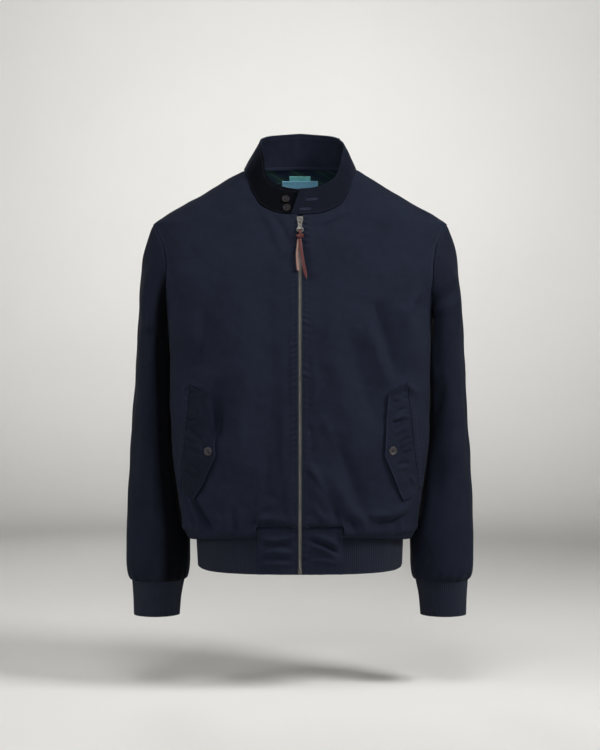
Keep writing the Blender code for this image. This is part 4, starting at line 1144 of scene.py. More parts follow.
def thread_finish(colour):
    """Core-spun polyester sewing thread, dyed to the cloth.

    The eye sees thread a little brighter and smoother than the cloth around it.
    """
    made, tree = new_finish("spun_sewing_thread", Roughness=0.7, Specular_IOR_Level=0.12)
    return cloudy(made, tree, colour, 0.7, 1.3, 60.0, 2.0)


def metal_finish(name, colour, roughness):
    """Nickel-plated brass, cast, barrel-polished and darkened.

    The eye sees a soft grey metal with small scuffs, darker where the polish didn't reach.
    """
    made, tree = new_finish(name, Metallic=1.0)
    cloudy(made, tree, colour, 0.25, 1.5, 160.0, 3.0)
    scuff = noise(tree, own_place(tree), 900.0, 4.0)
    dull = ranged(tree, scuff, 0.3, 0.7, roughness - 0.08, roughness + 0.12)
    return wire(made, Roughness=dull, Normal=bumped(tree, scuff, 0.3, 0.0001))


def leather_finish(name, colour):
    """Vegetable-tanned cowhide lace, cut, dyed and waxed.

    The eye sees a brown grain with fine pores, glossy where it is rubbed and paler on cut edges.
    """
    made, tree = new_finish(name, Specular_IOR_Level=0.3, Coat_Weight=0.06, Coat_Roughness=0.35)
    place = own_place(tree)
    pores = add_node(tree, "TexVoronoi", {"Vector": place, "Scale": 1400.0}).outputs["Distance"]
    rubbed = noise(tree, place, 240.0, 4.0)
    return wire(
        made,
        Base_Color=between(tree, rubbed, shade(colour, 0.55), shade(colour, 1.6)),
        Roughness=ranged(tree, rubbed, 0.3, 0.7, 0.38, 0.6),
        Normal=bumped(tree, pores, 0.4, 0.0002),
    )


def horn_finish(name, colour, specular):
    """Imitation buffalo horn: polyester cast with a dark drift through it, turned and polished.

    The eye sees a dark brown-grey button, streaked and cloudy, with a clear gloss.
    """
    made, tree = new_finish(name, Roughness=0.45, Specular_IOR_Level=specular)
    return cloudy(made, tree, colour, 0.4, 1.9, 170.0, 4.0, Distortion=1.5)


def plain_finish(name, colour, roughness):
    """Seamless paper sweep, matt and even, so that the eye sees only the soft light on it."""
    made, tree = new_finish(name, Roughness=roughness, Specular_IOR_Level=0.1)
    return cloudy(made, tree, colour, 0.97, 1.03, 1.5, 2.0)


FINISHES = {}
BUTTONHOLE_PALER = 3.2
TEETH_PALER = 2.7
# The collar buttons' horn is drawn darker than the flap buttons': painted shade, where the collar's front
# lies in shade.
COLLAR_HORN_PAINTED_SHADE = 0.4


def scaled(colour, factor):
    return [factor * part for part in colour]


def finish(name):
    """A named finish, made at its first use."""
    cloth = bpy.context.scene.jacket_cloth
    trim = bpy.context.scene.jacket_trim
    makers = {
        "twill": (twill_finish, cloth.twill_colour),
        "rib": (rib_finish, cloth.rib_colour),
        "lining": (tartan_finish, cloth.lining_green, cloth.lining_navy),
        "label": (woven_finish, "damask_label", cloth.label_colour_with_painted_light, 0.0008),
        "size_label": (woven_finish, "damask_size_tab", cloth.size_tab_colour_with_painted_light, 0.0008),
        "tape": (woven_finish, "herringbone_zip_tape", cloth.twill_colour, 0.0010),
        "thread": (thread_finish, cloth.thread_colour),
        "buttonhole": (thread_finish, scaled(cloth.thread_colour, BUTTONHOLE_PALER)),
        "metal": (metal_finish, "antique_nickel", trim.metal_colour, 0.42),
        "teeth": (metal_finish, "bright_nickel_teeth", scaled(trim.metal_colour, TEETH_PALER), 0.34),
        "leather": (leather_finish, "waxed_leather_grain", trim.leather_colour),
        "flesh": (leather_finish, "leather_flesh_side", trim.flesh_colour),
        "horn": (horn_finish, "polished_horn", trim.horn_colour, 0.5),
        "dark_horn": (horn_finish, "dulled_horn", scaled(trim.horn_colour, COLLAR_HORN_PAINTED_SHADE), 0.12),
    }
    if name not in FINISHES:
        maker, *details = makers[name]
        FINISHES[name] = maker(*details)
    return FINISHES[name]


# ---------------------------------------------------------------- sizes and colours to change


def length(name, description, default, low, high):
    """A length to change, in metres."""
    return bpy.props.FloatProperty(
        name=name, description=description, default=default, min=low, max=high,
        unit="LENGTH", precision=4,
    )


def tint(name, description, code):
    """A colour to change, from its hex code."""
    return bpy.props.FloatVectorProperty(
        name=name, description=description, subtype="COLOR", size=3, default=srgb(code), min=0, max=1
    )


def power(name, description, default):
    """The power of a light, in watts."""
    return bpy.props.FloatProperty(
        name=name, description=description, default=default, min=0, unit="POWER"
    )


class JacketCloth(bpy.types.PropertyGroup):
    """Sizes and colours of the cloth, knit and stitches."""

    twill_wall: length("Twill thickness", "Thickness of the body and sleeve cloth", 0.0011, 0.0005, 0.003)
    rib_wall: length("Rib thickness", "Thickness of the knitted hem and cuffs", 0.0020, 0.001, 0.004)
    mesh_step: length("Mesh step", "Distance between the cloth's mesh points", 0.0033, 0.002, 0.012)
    rib_pitch: length("Rib pitch", "Distance between knitted ribs", 0.0034, 0.002, 0.008)
    rib_depth: length("Rib depth", "Height of the knitted ribs above their valleys", 0.0007, 0.0002, 0.003)
    stitch_length: length("Stitch length", "Length of one topstitch", 0.0026, 0.0015, 0.005)
    stitch_gap: length("Stitch gap", "Gap between topstitches", 0.0006, 0.0002, 0.002)
    thread_thick: length("Thread thickness", "Thickness of the sewing thread", 0.0006, 0.0003, 0.0015)
    twill_colour: tint("Twill colour", "Navy of the body, sleeves, collar and flaps", "#181c28")
    rib_colour: tint("Rib colour", "Navy of the knitted hem and cuffs", "#1c2130")
    thread_colour: tint("Thread colour", "Colour of the topstitches", "#1f2331")
    lining_green: tint("Lining green", "Dark green of the tartan lining", "#28433f")
    lining_navy: tint("Lining navy", "Navy bands of the tartan lining", "#222d45")
    # The label's and the tab's colours are paler than their real weaves: painted light, standing in for
    # light that reaches into the neck.
    label_colour_with_painted_light: tint("Label blue", "Blue of the plain neck label", "#8dd2ff")
    size_tab_colour_with_painted_light: tint("Tab green", "Green of the small plain tab over the label", "#86dcdf")


class JacketTrim(bpy.types.PropertyGroup):
    """Sizes and colours of the zip, buttons and thong."""

    teeth_pitch: length("Teeth pitch", "Distance between the zip teeth on one side", 0.0034, 0.001, 0.005)
    flap_button_radius: length("Flap buttons", "Radius of the pocket flap buttons", 0.0069, 0.004, 0.012)
    collar_button_radius: length("Collar buttons", "Radius of the collar buttons", 0.0066, 0.004, 0.012)
    button_thick: length("Button thickness", "Thickness of the buttons", 0.0026, 0.001, 0.005)
    thong_width: length("Thong width", "Width of the leather thong", 0.0055, 0.002, 0.006)
    metal_colour: tint("Metal colour", "Antique nickel of the zip", "#64625f")
    leather_colour: tint("Leather colour", "Grain side of the thong", "#4a1d1e")
    flesh_colour: tint("Flesh side colour", "Paler inner side of the thong", "#664b42")
    horn_colour: tint("Horn colour", "Dark horn of the buttons", "#292325")


class JacketStage(bpy.types.PropertyGroup):
    """The plain stage around the jacket."""

    floor_height: bpy.props.FloatProperty(
        name="Floor height", description="Height of the floor below the collar",
        default=-0.86, unit="LENGTH",
    )
    floor_colour: tint("Floor colour", "Pale colour of the floor and backdrop", "#dcdbd8")
    key_power: power("Key light", "Power of the large soft light", 20.0)
    fill_power: power("Fill light", "Power of the soft light on the other side", 6.0)
    front_power: power("Front light", "Power of the soft light above the camera", 3.0)
    back_power: power("Back light", "Power of the soft light behind the jacket", 9.0)
    wall_power: power("Wall lights", "Power of each soft light on the round paper wall", 62.0)
    sky: bpy.props.FloatProperty(
        name="Sky", description="Brightness of the even light all round", default=0.02, min=0, max=3
    )


# ---------------------------------------------------------------- cloth pieces

DEGREE = 0.00125


def mirrored(points):
    return points * np.array([-1.0, 1.0, 1.0])


def body_wear(turn, level, points):
    """Where the body's cloth is paler from the wash: along its seams and on small ripples."""
    seam = from_armhole(turn, level)[0]
    worn_and_shaded = bell(np.abs(seam) - 0.003, 0.002)
    zip_side = np.abs(points[..., 0]) - FRONT_EDGE
    front = np.cos(turn) > 0
    worn_and_shaded += np.where(front, bell(zip_side, 0.0015), 0)
    return 0.35 * worn_and_shaded * (0.7 + 0.3 * wander(points[..., 0], points[..., 2], 0.02, 3))


class JACKET_OT_fronts(bpy.types.Operator):
    """Cut and shape the two fronts, from the shoulder seams to the hem rib"""

    bl_idname = "jacket.fronts"
    bl_label = "Fronts"

    def execute(self, context):
        cloth = context.scene.jacket_cloth
        turn, level = front_grid(cloth.mesh_step)
        across = np.round(front_columns(cloth.mesh_step), 6)
        for side in ("left", "right"):
            turned = turn if side == "right" else -turn
            points = body(turned, level)
            keep = (across[:-1] >= TAB_ACROSS) | (level[:-1, :-1] >= TAB_TOP - 1e-6)
            piece = add_cloth(
                f"front_{side}_cloth", points, cloth.twill_wall, finish("twill"),
                flip=side == "left", keep=keep, wear=body_wear(turned, level, points),
            )
            place_in_jacket(piece, "twill", f"front_{side}")
        return {"FINISHED"}


class JACKET_OT_back(bpy.types.Operator):
    """Cut and shape the plain back panel"""

    bl_idname = "jacket.back"
    bl_label = "Back"

    def execute(self, context):
        cloth = context.scene.jacket_cloth
        turn, level = back_grid(cloth.mesh_step * 1.25)
        points = body(turn, level)
        piece = add_cloth(
            "back_cloth", points, cloth.twill_wall, finish("twill"),
            wear=body_wear(turn, level, points),
        )
        place_in_jacket(piece, "twill", "back")
        return {"FINISHED"}


def sleeve_on(side):
    """The face of one sleeve with its folds, as on the right before mirroring."""

    def face(around, ring):
        around, ring = np.broadcast_arrays(around, ring)
        plain = clear_sleeve(around, ring)
        y, z = plain[..., 1], plain[..., 2]
        turned = np.degrees(around % math.tau) * DEGREE
        folds = [
            (tuple((u * DEGREE, v) for u, v in line), before, behind, rise)
            for line, before, behind, rise in SLEEVE_FOLDS[side]
        ]
        height = fold_height(folds, turned, z)
        seam = np.linalg.norm(plain - clear_sleeve(around, 0.0 * ring), axis=-1)
        height += seam_dip(seam) + pucker(seam - 0.003, 0.078 * around, 0.011, 0.006, 0.0005, 31)
        free = smooth_step(seam, 0.0, 0.03)
        height += 0.0009 * wander(y + 0.4 * plain[..., 0], z, 0.085, 41 + len(side)) * free
        gather = pucker(ring - 15.4, around * 0.0447, math.tau * 0.0447 / 17, 1.7, 0.0016, 51 + len(side))
        height += gather * smooth_step(-np.abs(ring - 15.0), -3, 0)
        height += seam_dip((ring - 16) * 0.004, 0.0006)
        return plain - normals(clear_sleeve, around, ring) * height[..., None]

    return face


class JACKET_OT_sleeves(bpy.types.Operator):
    """Cut and shape the two set-in sleeves"""

    bl_idname = "jacket.sleeves"
    bl_label = "Sleeves"

    def execute(self, context):
        cloth = context.scene.jacket_cloth
        rings = sleeve_rings(cloth.mesh_step * 1.1)
        count = round(0.46 / cloth.mesh_step / 1.1)
        around, ring = np.meshgrid(np.arange(count) * math.tau / count, rings)
        for side in ("left", "right"):
            points = sleeve_on(side)(around, ring)
            seam = np.linalg.norm(points - points[:1], axis=-1)
            # The armhole seam is paler where worn, and the whole sleeve is drawn a little darker than the
            # body.
            worn_and_shaded = 0.3 * bell(seam - 0.003, 0.002) - 0.2
            if side == "left":
                # Painted shade inboard, where the sleeve lies against the body.
                high = smooth_step(points[..., 2], -0.40, -0.30)
                edge = np.degrees(around) - 12 * high
                inboard = smooth_step(-edge, -86, -62) * smooth_step(edge, 10, 30)
                worn_and_shaded -= 0.95 * inboard * smooth_step(-points[..., 2], 0.12, 0.20)
                points = mirrored(points)
            piece = add_cloth(
                f"sleeve_{side}_cloth", points, cloth.twill_wall, finish("twill"),
                flip=side == "right", tube=True, wear=worn_and_shaded,
            )
            place_in_jacket(piece, "twill", f"sleeve_{side}")
        return {"FINISHED"}


def ribbed(points, out):
    """A grid of a knit's places lifted into ribs along its columns, and how high each lies."""
    cloth = bpy.context.scene.jacket_cloth
    phase = np.arange(points.shape[1]) % 4
    share = np.array([1.0, 0.5, 0.0, 0.5])[phase] + 0 * points[..., 0]
    lifted = points + out * (cloth.rib_depth * (share - 1))[..., None]
    return lifted, share


class JACKET_OT_ribs(bpy.types.Operator):
    """Knit the hem band and the two cuffs"""

    bl_idname = "jacket.ribs"
    bl_label = "Ribs"

    def execute(self, context):
        cloth = context.scene.jacket_cloth
        levels = RIB[0][0] + (RIB_BOTTOM - RIB[0][0]) * spread(0.057, 0.004)
        start = turn_at(RIB, TAB_WIDTH - 0.004, levels[:, None])
        fine = np.linspace(0, 1, 2001)
        middle = plain_rib(start[0] + (math.tau - 2 * start[0]) * fine, -0.63)
        passed = passed_along(middle)
        count = 4 * round(passed[-1] / cloth.rib_pitch)
        share = np.interp(np.linspace(0, passed[-1], count + 1), passed, fine)
        turn, level = np.broadcast_arrays(start + (math.tau - 2 * start) * share, levels[:, None])
        beside = bell(np.cos(turn), 0.42)
        level = level + 0.006 * beside * (levels[0] - level) / (levels[0] - RIB_BOTTOM)
        plain = plain_rib(turn, level)
        sway = 0.0006 * wander(plain[..., 0] + plain[..., 1], plain[..., 2] * 0.3, 0.05, 61)
        points, high = ribbed(plain, normals(plain_rib, turn, level))
        points = points + normals(plain_rib, turn, level) * sway[..., None]
        piece = add_cloth(
            "hem_rib_knit", points, cloth.rib_wall, finish("rib"), flip=True, wear=high, rim=0.0006
        )
        place_in_jacket(piece, "rib", "hem_rib")
        heights = CUFF[0][0] + (CUFF[-1][0] - CUFF[0][0]) * spread(0.058, 0.004)
        count = 4 * round(0.266 / cloth.rib_pitch)
        around, z = np.meshgrid(np.arange(count) * math.tau / count, heights)
        for side in ("left", "right"):
            points, high = ribbed(cuff(around, z), normals(cuff, around, z))
            if side == "left":
                points = mirrored(points)
            piece = add_cloth(
                f"cuff_{side}_knit", points, cloth.rib_wall, finish("rib"),
                flip=side == "right", tube=True, wear=high, rim=0.0006,
            )
            place_in_jacket(piece, "rib", f"cuff_{side}")
        return {"FINISHED"}


def tab_face(turn, level):
    """The hem tab's face with its seam grooves and small folds."""
    turn, level = np.broadcast_arrays(turn, level)
    plain = plain_tab(turn, level)
    x, z = np.abs(plain[..., 0]), plain[..., 2]
    height = pucker(x - 0.008, z + 0.3 * (turn > 0), 0.012, 0.008, 0.0007, 71)
    height += seam_dip(TAB_WIDTH - x, 0.0006) + seam_dip(TAB_TOP - z, 0.0006)
    height += 0.0005 * wander(plain[..., 0], z, 0.02, 73)
    height += fold_height(TAB_FOLDS, plain[..., 0], z) * smooth_step(TAB_WIDTH - x, 0, 0.006)
    height -= 0.0020 * (1 - smooth_step(TAB_TOP - z, 0, 0.005))
    # Its outer edge is drawn back to the rib that it is sewn to.
    rib = plain_rib(turn_at(RIB, plain[..., 0], level), level)
    drawn = (1 - smooth_step(TAB_WIDTH - x, 0, 0.012)) * smooth_step(HEM_SEAM - z, 0, 0.009)
    points = plain + normals(plain_tab, turn, level) * height[..., None]
    points[..., 1] += drawn * (rib[..., 1] - 0.0014 - points[..., 1])
    return points


class JACKET_OT_tabs(bpy.types.Operator):
    """Cut the two tabs of body cloth beside the zip at the hem"""

    bl_idname = "jacket.tabs"
    bl_label = "Hem tabs"

    def execute(self, context):
        level = (RIB_BOTTOM + (TAB[0][0] - RIB_BOTTOM) * spread(0.079, 0.0020))[:, None]
        across = FRONT_EDGE + (TAB_WIDTH - SEAM_GAP / 2 - FRONT_EDGE) * spread(0.065, 0.0020)
        turn, level = np.broadcast_arrays(turn_at(TAB, across, level), level)
        for side in ("left", "right"):
            turned = turn if side == "right" else -turn
            piece = add_cloth(
                f"hem_tab_{side}_cloth", tab_face(turned, level), 0.0016, finish("twill"),
                flip=side == "left", rim=0.0006,
            )
            place_in_jacket(piece, "twill", f"hem_tab_{side}")
        return {"FINISHED"}


COLLAR_WALL = 0.0026
COLLAR_HIGH = 0.045


def collar_face(turn, height):
    """The collar's outer face, puffed a little between its stitches and its edge."""
    turn, height = np.broadcast_arrays(turn, height)
    plain = collar(turn, height)
    edge = (1 - height) * COLLAR_HIGH
    lift = -0.0004 * bell(edge - 0.006, 0.0016)
    lift += 0.0005 * wander(turn * 0.0021, height * COLLAR_HIGH, 0.035, 81)
    return plain - normals(collar, turn, height) * lift[..., None]


class JACKET_OT_collar(bpy.types.Operator):
    """Cut the two-button stand collar"""

    bl_idname = "jacket.collar"
    bl_label = "Collar"

    def execute(self, context):
        cloth = context.scene.jacket_cloth
        height = np.concatenate([[-0.09, -0.06, -0.04, -0.02], spread(0.048, 0.0025)])
        turn = collar_turns(cloth.mesh_step, height)
        turn, height = np.broadcast_arrays(turn, height[:, None])
        # The top edge is paler where worn; painted shade darkens the collar's front, most over its left
        # under end.
        worn_and_shaded = 0.3 * bell((1 - height) * COLLAR_HIGH, 0.0015)
        worn_and_shaded = worn_and_shaded - 0.55 * smooth_step(np.abs(turn), 90, 145) - 0.75 * smooth_step(-turn, 115, 160)
        piece = add_cloth(
            "collar_cloth", collar_face(turn, height), COLLAR_WALL, finish("twill"),
            flip=True, wear=worn_and_shaded, rim=0.0009,
        )
        place_in_jacket(piece, "twill", "collar")
        return {"FINISHED"}


# How much painted shade darkens each flap, deeper on the left one.
FLAP_PAINTED_SHADE = {"left": 0.3, "right": 0.12}


class JACKET_OT_flaps(bpy.types.Operator):
    """Cut the two slanted, pointed pocket flaps"""

    bl_idname = "jacket.flaps"
    bl_label = "Pocket flaps"

    def execute(self, context):
        for side in ("left", "right"):
            x, z, free = flap_grid(side, FLAP_STEP)
            seam = from_flap_seam(side, x, z)[0]
            # The free edge is paler where worn; a line of painted shade lies along the seam's groove, and
            # painted shade darkens the whole flap.
            worn_and_shaded = 0.6 * bell(free, 0.0013) - 0.8 * bell(seam - 0.0006, 0.0012)
            worn_and_shaded -= FLAP_PAINTED_SHADE[side] * smooth_step(seam, -0.001, 0.004)
            piece = add_cloth(
                f"pocket_flap_{side}_cloth", on_front(x, z, flap_height(side, x, z)), 0.0017,
                finish("twill"), flip=side == "right", wear=worn_and_shaded, rim=0.0005,
            )
            place_in_jacket(piece, "twill", f"pocket_flap_{side}")
        return {"FINISHED"}


LINING_TURN = math.radians(84)
LINING_DEEP = -0.075
LABELS = {
    "size_tab": ("size_label", (0.037, 0.0115), -0.0015, 0.0053),
    "neck_label": ("label", (0.063, 0.026), -0.0085, 0.0068),
}


class JACKET_OT_lining(bpy.types.Operator):
    """Line the inside of the neck and sew in the plain labels"""

    bl_idname = "jacket.lining"
    bl_label = "Neck lining and labels"

    def execute(self, context):
        share = spread(0.085, 0.004)[:, None]
        turn = math.pi + LINING_TURN * (2 * spread(0.40, 0.004) - 1)
        level = LINING_DEEP + (neck_height(turn) - LINING_DEEP) * share
        turn, level = np.broadcast_arrays(turn, level)
        out = normals(plain_body, turn, level)
        face = plain_body(turn, level)
        sway = 0.0005 * wander(face[..., 0], face[..., 2], 0.03, 101)
        points = face - out * (0.0031 + sway)[..., None]
        piece = add_cloth("neck_lining_cloth", points, 0.0009, finish("lining"))
        place_in_jacket(piece, "lining", "neck_lining")
        for name, (slot, size, top, deep) in LABELS.items():
            x = (spread(size[0], 0.002) - 0.5) * size[0]
            level = top - spread(size[1], 0.002)[::-1, None] * size[1]
            x, level = np.broadcast_arrays(x, level)
            across = np.abs(x) / column(BODY, BODY_COLUMNS, "half_width", level)
            turn = math.pi - np.sign(x) * np.arcsin(across)
            out = normals(plain_body, turn, level)
            points = plain_body(turn, level) - out * deep
            piece = add_cloth(f"{name}_weave", points, 0.0007, finish(slot), flip=True, rim=0.0002)
            place_in_jacket(piece, slot, name)
        return {"FINISHED"}


# ---------------------------------------------------------------- zip, thong and buttons

CHAIN_TOP = -0.1000
ZIP_TOP = -0.0855
HINGE_HEIGHT = -0.0945
HINGE_SLOPE = math.radians(17)
HINGE_OUT = 0.00395
KNOT_DROP = -0.0266
THONG_PROUD = 0.0031
THONG_THICK = 0.0017
# The loop through the pull's slot: places up the pull and out of the front, from the hinge.
THONG_LOOP = (
    (-0.0242, 0.0028), (-0.0200, 0.0036), (-0.0170, 0.0031), (-0.0155, 0.0012),
    (-0.0156, -0.0010), (-0.0170, -0.0019), (-0.0200, -0.0012), (-0.0242, 0.0005),
)
THONG_COLUMNS = ("z", "x")
THONG_TAILS = {
    "left": (
        (-0.1252, -0.0032), (-0.1350, -0.0042), (-0.1490, -0.0052), (-0.1630, -0.0042), (-0.1755, -0.0026),
    ),
    "right": (
        (-0.1252, 0.0008), (-0.1350, 0.0018), (-0.1500, 0.0036), (-0.1710, 0.0068), (-0.1885, 0.0106),
    ),
}


def hinge_place():
    """Where the pull hinges at the crown: X along its axis, Y up the zip and Z out of the front."""
    y = front_line(np.array(HINGE_HEIGHT))[1] - HINGE_OUT / math.cos(HINGE_SLOPE)
    return Matrix.Translation((0.0, y, HINGE_HEIGHT)) @ Matrix.Rotation(math.pi / 2 - HINGE_SLOPE, 4, "X")


def strap_shape(route, faces_out, widths, thicks, closed=False):
    """A flat strap's places and faces along a route, its broad side facing `faces_out`."""
    count = len(route)
    run = np.roll(route, -1, 0) - np.roll(route, 1, 0)
    if not closed:
        run[0], run[-1] = route[1] - route[0], route[-1] - route[-2]
    run = unit(run)
    side = unit(np.cross(faces_out, run))
    up = np.cross(run, side)
    ring = ((0.5, 0.2), (0.36, 0.5), (0.0, 0.56), (-0.36, 0.5), (-0.5, 0.2),
            (-0.5, -0.2), (-0.36, -0.5), (0.0, -0.56), (0.36, -0.5), (0.5, -0.2))
    around = len(ring)
    points = [
        route + side * (a * widths)[:, None] + up * (b * thicks)[:, None] for a, b in ring
    ]
    points = np.stack(points, 1).reshape(-1, 3)
    faces = []
    for i in range(count if closed else count - 1):
        for k in range(around):
            a, b = i * around + k, i * around + (k + 1) % around
            c, d = (i + 1) % count * around + (k + 1) % around, (i + 1) % count * around + k
            faces.append((a, b, c, d))
    if not closed:
        faces.append(tuple(range(around))[::-1])
        faces.append(tuple((count - 1) * around + k for k in range(around)))
    return points, faces


def outward(piece):
    """The piece's faces turned outwards."""
    hold(piece)
    bpy.ops.object.mode_set(mode="EDIT")
    bpy.ops.mesh.select_all(action="SELECT")
    bpy.ops.mesh.normals_make_consistent(inside=False)
    bpy.ops.object.mode_set(mode="OBJECT")
    return piece


class JACKET_OT_thong(bpy.types.Operator):
    """Knot the leather thong through the pull and let its two ends hang"""

    bl_idname = "jacket.thong"
    bl_label = "Leather thong"

    def execute(self, context):
        width = context.scene.jacket_trim.thong_width
        for side, rows in THONG_TAILS.items():
            z = np.linspace(rows[0][0], rows[-1][0], 26)
            route = front_line(z)
            route[:, 0] = column(rows, THONG_COLUMNS, "x", z)
            route[:, 1] -= THONG_PROUD
            share = np.linspace(0, 1, len(z))
            if side == "left":
                twist = 0.30 + 0.55 * share + 0.25 * np.sin(5 * share)
                route[:, 0] += 0.0014 * (1 - share)
            else:
                # The upper end lies over the other one, its broad side to the front.
                twist = -0.10 - 0.35 * share
                route[:, 0] -= 0.0012 * (1 - share)
                route[:, 1] -= 0.0013 * (1 - share)
            out = np.stack([np.sin(twist), -np.cos(twist), 0 * z], -1)
            taper = 1 - 0.75 * smooth_step(share, 0.86, 1.0) * (side == "right")
            points, faces = strap_shape(route, out, width * taper, THONG_THICK + 0 * z)
            slot = "flesh" if side == "left" else "leather"
            piece = outward(new_piece(f"thong_{side}_end", points, faces, finish(slot)))
            piece.data.set_sharp_from_angle(angle=math.radians(50))
            place_in_jacket(piece, "leather", f"thong_tail_{side}", body_name="pull_tab")
        self.add_knot()
        return {"FINISHED"}

    def add_knot(self):
        """The wrapped knot, and the loop that goes through the pull's slot."""
        place = np.array(hinge_place())
        turn = np.linspace(0, math.tau, 73)[:-1]
        x = 0.00175 * (np.sin(turn) + 2 * np.sin(2 * turn))
        y = 0.00105 * (np.cos(turn) - 2 * np.cos(2 * turn)) + KNOT_DROP
        z = 0.0019 - 0.0017 * np.sin(3 * turn)
        route = np.stack([x, y, z], -1)
        out = np.stack([x * 60, (y - KNOT_DROP) * 60, 0.9 - 0 * x], -1)
        points, faces = strap_shape(route, out, 0.0036 + 0 * x, 0.0019 + 0 * x, closed=True)
        loop = np.array([(0.0, up, out_of_front) for up, out_of_front in THONG_LOOP])
        middle = np.array([0.0, -0.0190, 0.0008])
        more, shapes = strap_shape(loop, loop - middle, 0.0032 + 0 * loop[:, 0], 0.0012 + 0 * loop[:, 0])
        points, faces = joined([(points, faces), (more, shapes)])
        points = np.array(points) @ place[:3, :3].T + place[:3, 3]
        knot = outward(new_piece("thong_wrapped_knot", points, faces, finish("leather")))
        apply_modifier(knot, "SUBSURF", levels=1, render_levels=1)
        place_in_jacket(knot, "leather", "thong_knot", body_name="pull_tab")


def softened(node, name, width, segments, body_name):
    """A copy of a metal frame node with its edges rounded as by barrel polishing."""
    mesh = frame["nodes"][node].data.copy()
    mesh.name = name
    mesh.materials.clear()
    mesh.materials.append(finish("metal"))
    piece = bpy.data.objects.new(name, mesh)
    bpy.context.scene.collection.objects.link(piece)
    hold(piece)
    bpy.ops.object.mode_set(mode="EDIT")
    bpy.ops.mesh.select_all(action="SELECT")
    bpy.ops.mesh.remove_doubles(threshold=0.00001)
    bpy.ops.mesh.dissolve_limited(angle_limit=math.radians(1))
    bpy.ops.object.mode_set(mode="OBJECT")
    apply_modifier(
        piece, "BEVEL", width=width, segments=segments, limit_method="ANGLE",
        angle_limit=math.radians(30), harden_normals=False,
    )
    hold(piece)
    bpy.ops.object.shade_smooth_by_angle(angle=math.radians(35))
    return place_in_jacket(piece, "metal", node, body_name=body_name)


def block(place, size, edge, segments):
    """A block of metal with softened edges."""
    deselect()
    bpy.ops.mesh.primitive_cube_add(size=1, location=place)
    made = bpy.context.object
    made.scale = size
    bpy.ops.object.transform_apply(location=True, rotation=True, scale=True)
    apply_modifier(made, "BEVEL", width=edge, segments=segments, affect="EDGES")
    return made


def tooth_mesh():
    """One zip tooth at the origin: a softened bar across the tape, as arrays."""
    tooth = block((0, 0, 0), (0.0024, 0.0025, 0.0014), 0.00032, 1)
    places = np.array([vertex.co[:] for vertex in tooth.data.vertices])
    faces = [tuple(polygon.vertices) for polygon in tooth.data.polygons]
    bpy.data.objects.remove(tooth, do_unlink=True)
    return places, faces


class JACKET_OT_zip(bpy.types.Operator):
    """Build the metal zip: tapes, teeth, bottom box, slider and pull"""

    bl_idname = "jacket.zip"
    bl_label = "Metal zip"

    def execute(self, context):
        pitch = context.scene.jacket_trim.teeth_pitch
        tooth, shape = tooth_mesh()
        low = RIB_BOTTOM + 0.010
        points, faces = joined(
            (tooth + front_line(np.array(z)) + np.array([side * 0.0012, 0.0006, 0.0]), shape)
            for side, offset in ((1, 0.0), (-1, pitch / 2))
            for z in np.arange(low + offset, CHAIN_TOP - 0.0015, pitch)
        )
        teeth = new_piece("zip_teeth", points, faces, finish("teeth"))
        hold(teeth)
        bpy.ops.object.shade_smooth_by_angle(angle=math.radians(30))
        place_in_jacket(teeth, "metal", "zip_chain")
        self.add_box()
        z = (RIB_BOTTOM + (ZIP_TOP - RIB_BOTTOM) * spread(0.576, 0.006))[:, None]
        across = SEAM_GAP / 2 + (0.015 - SEAM_GAP / 2) * spread(0.015, 0.0025)
        for side, sign in (("left", -1), ("right", 1)):
            points = front_line(z + 0 * across)
            points[..., 0] = sign * across
            cord = 0.0008 * bell(across - 0.0015, 0.001)
            points[..., 1] += 0.0022 - cord
            piece = add_cloth(
                f"zip_tape_{side}_weave", points, 0.0008, finish("tape"), flip=side == "left"
            )
            place_in_jacket(piece, "tape", f"zip_tape_{side}")
        softened("zip_slider", "zip_slider_cast", 0.00045, 3, "jacket")
        softened("zip_pull", "zip_pull_cast", 0.00035, 2, "pull_tab")
        return {"FINISHED"}

    def add_box(self):
        """The pressed retaining box at the zip's bottom end."""
        middle = front_line(np.array(RIB_BOTTOM + 0.0055))
        box = block((0.0, middle[1] + 0.0006, middle[2]), (0.0068, 0.0028, 0.0080), 0.0007, 2)
        box.name = "zip_bottom_box"
        box.data.materials.append(finish("metal"))
        bpy.ops.object.shade_smooth_by_angle(angle=math.radians(40))
        place_in_jacket(box, "metal")


def button_blank(radius, thick):
    """A four-hole button facing +Z at the origin, with a raised rim and a dished middle."""
    deselect()
    bpy.ops.mesh.primitive_cylinder_add(vertices=40, radius=radius, depth=thick, location=(0, 0, 0))
    button = bpy.context.object
    apply_modifier(
        button, "BEVEL", width=thick * 0.38, segments=4, limit_method="ANGLE", angle_limit=math.radians(60)
    )
    bpy.ops.object.mode_set(mode="EDIT")
    bpy.ops.mesh.select_all(action="DESELECT")
    bpy.ops.object.mode_set(mode="OBJECT")
    top = max(button.data.polygons, key=lambda face: face.center.z + 10 * face.area)
    top.select = True
    bpy.ops.object.mode_set(mode="EDIT")
    bpy.ops.mesh.select_mode(type="FACE")
    bpy.ops.mesh.inset(thickness=radius * 0.10)
    bpy.ops.mesh.inset(thickness=radius * 0.12, depth=-thick * 0.24)
    bpy.ops.mesh.inset(thickness=radius * 0.10, depth=-thick * 0.03)
    bpy.ops.object.mode_set(mode="OBJECT")
    for across, up in ((1, 1), (1, -1), (-1, 1), (-1, -1)):
        deselect()
        bpy.ops.mesh.primitive_cylinder_add(
            vertices=14, radius=radius * 0.12, depth=thick * 3,
            location=(across * radius * 0.22, up * radius * 0.22, 0),
        )
        drill = bpy.context.object
        apply_modifier(button, "BOOLEAN", operation="DIFFERENCE", object=drill, solver="EXACT")
        bpy.data.objects.remove(drill, do_unlink=True)
    hold(button)
    bpy.ops.object.shade_smooth_by_angle(angle=math.radians(35))
    return button


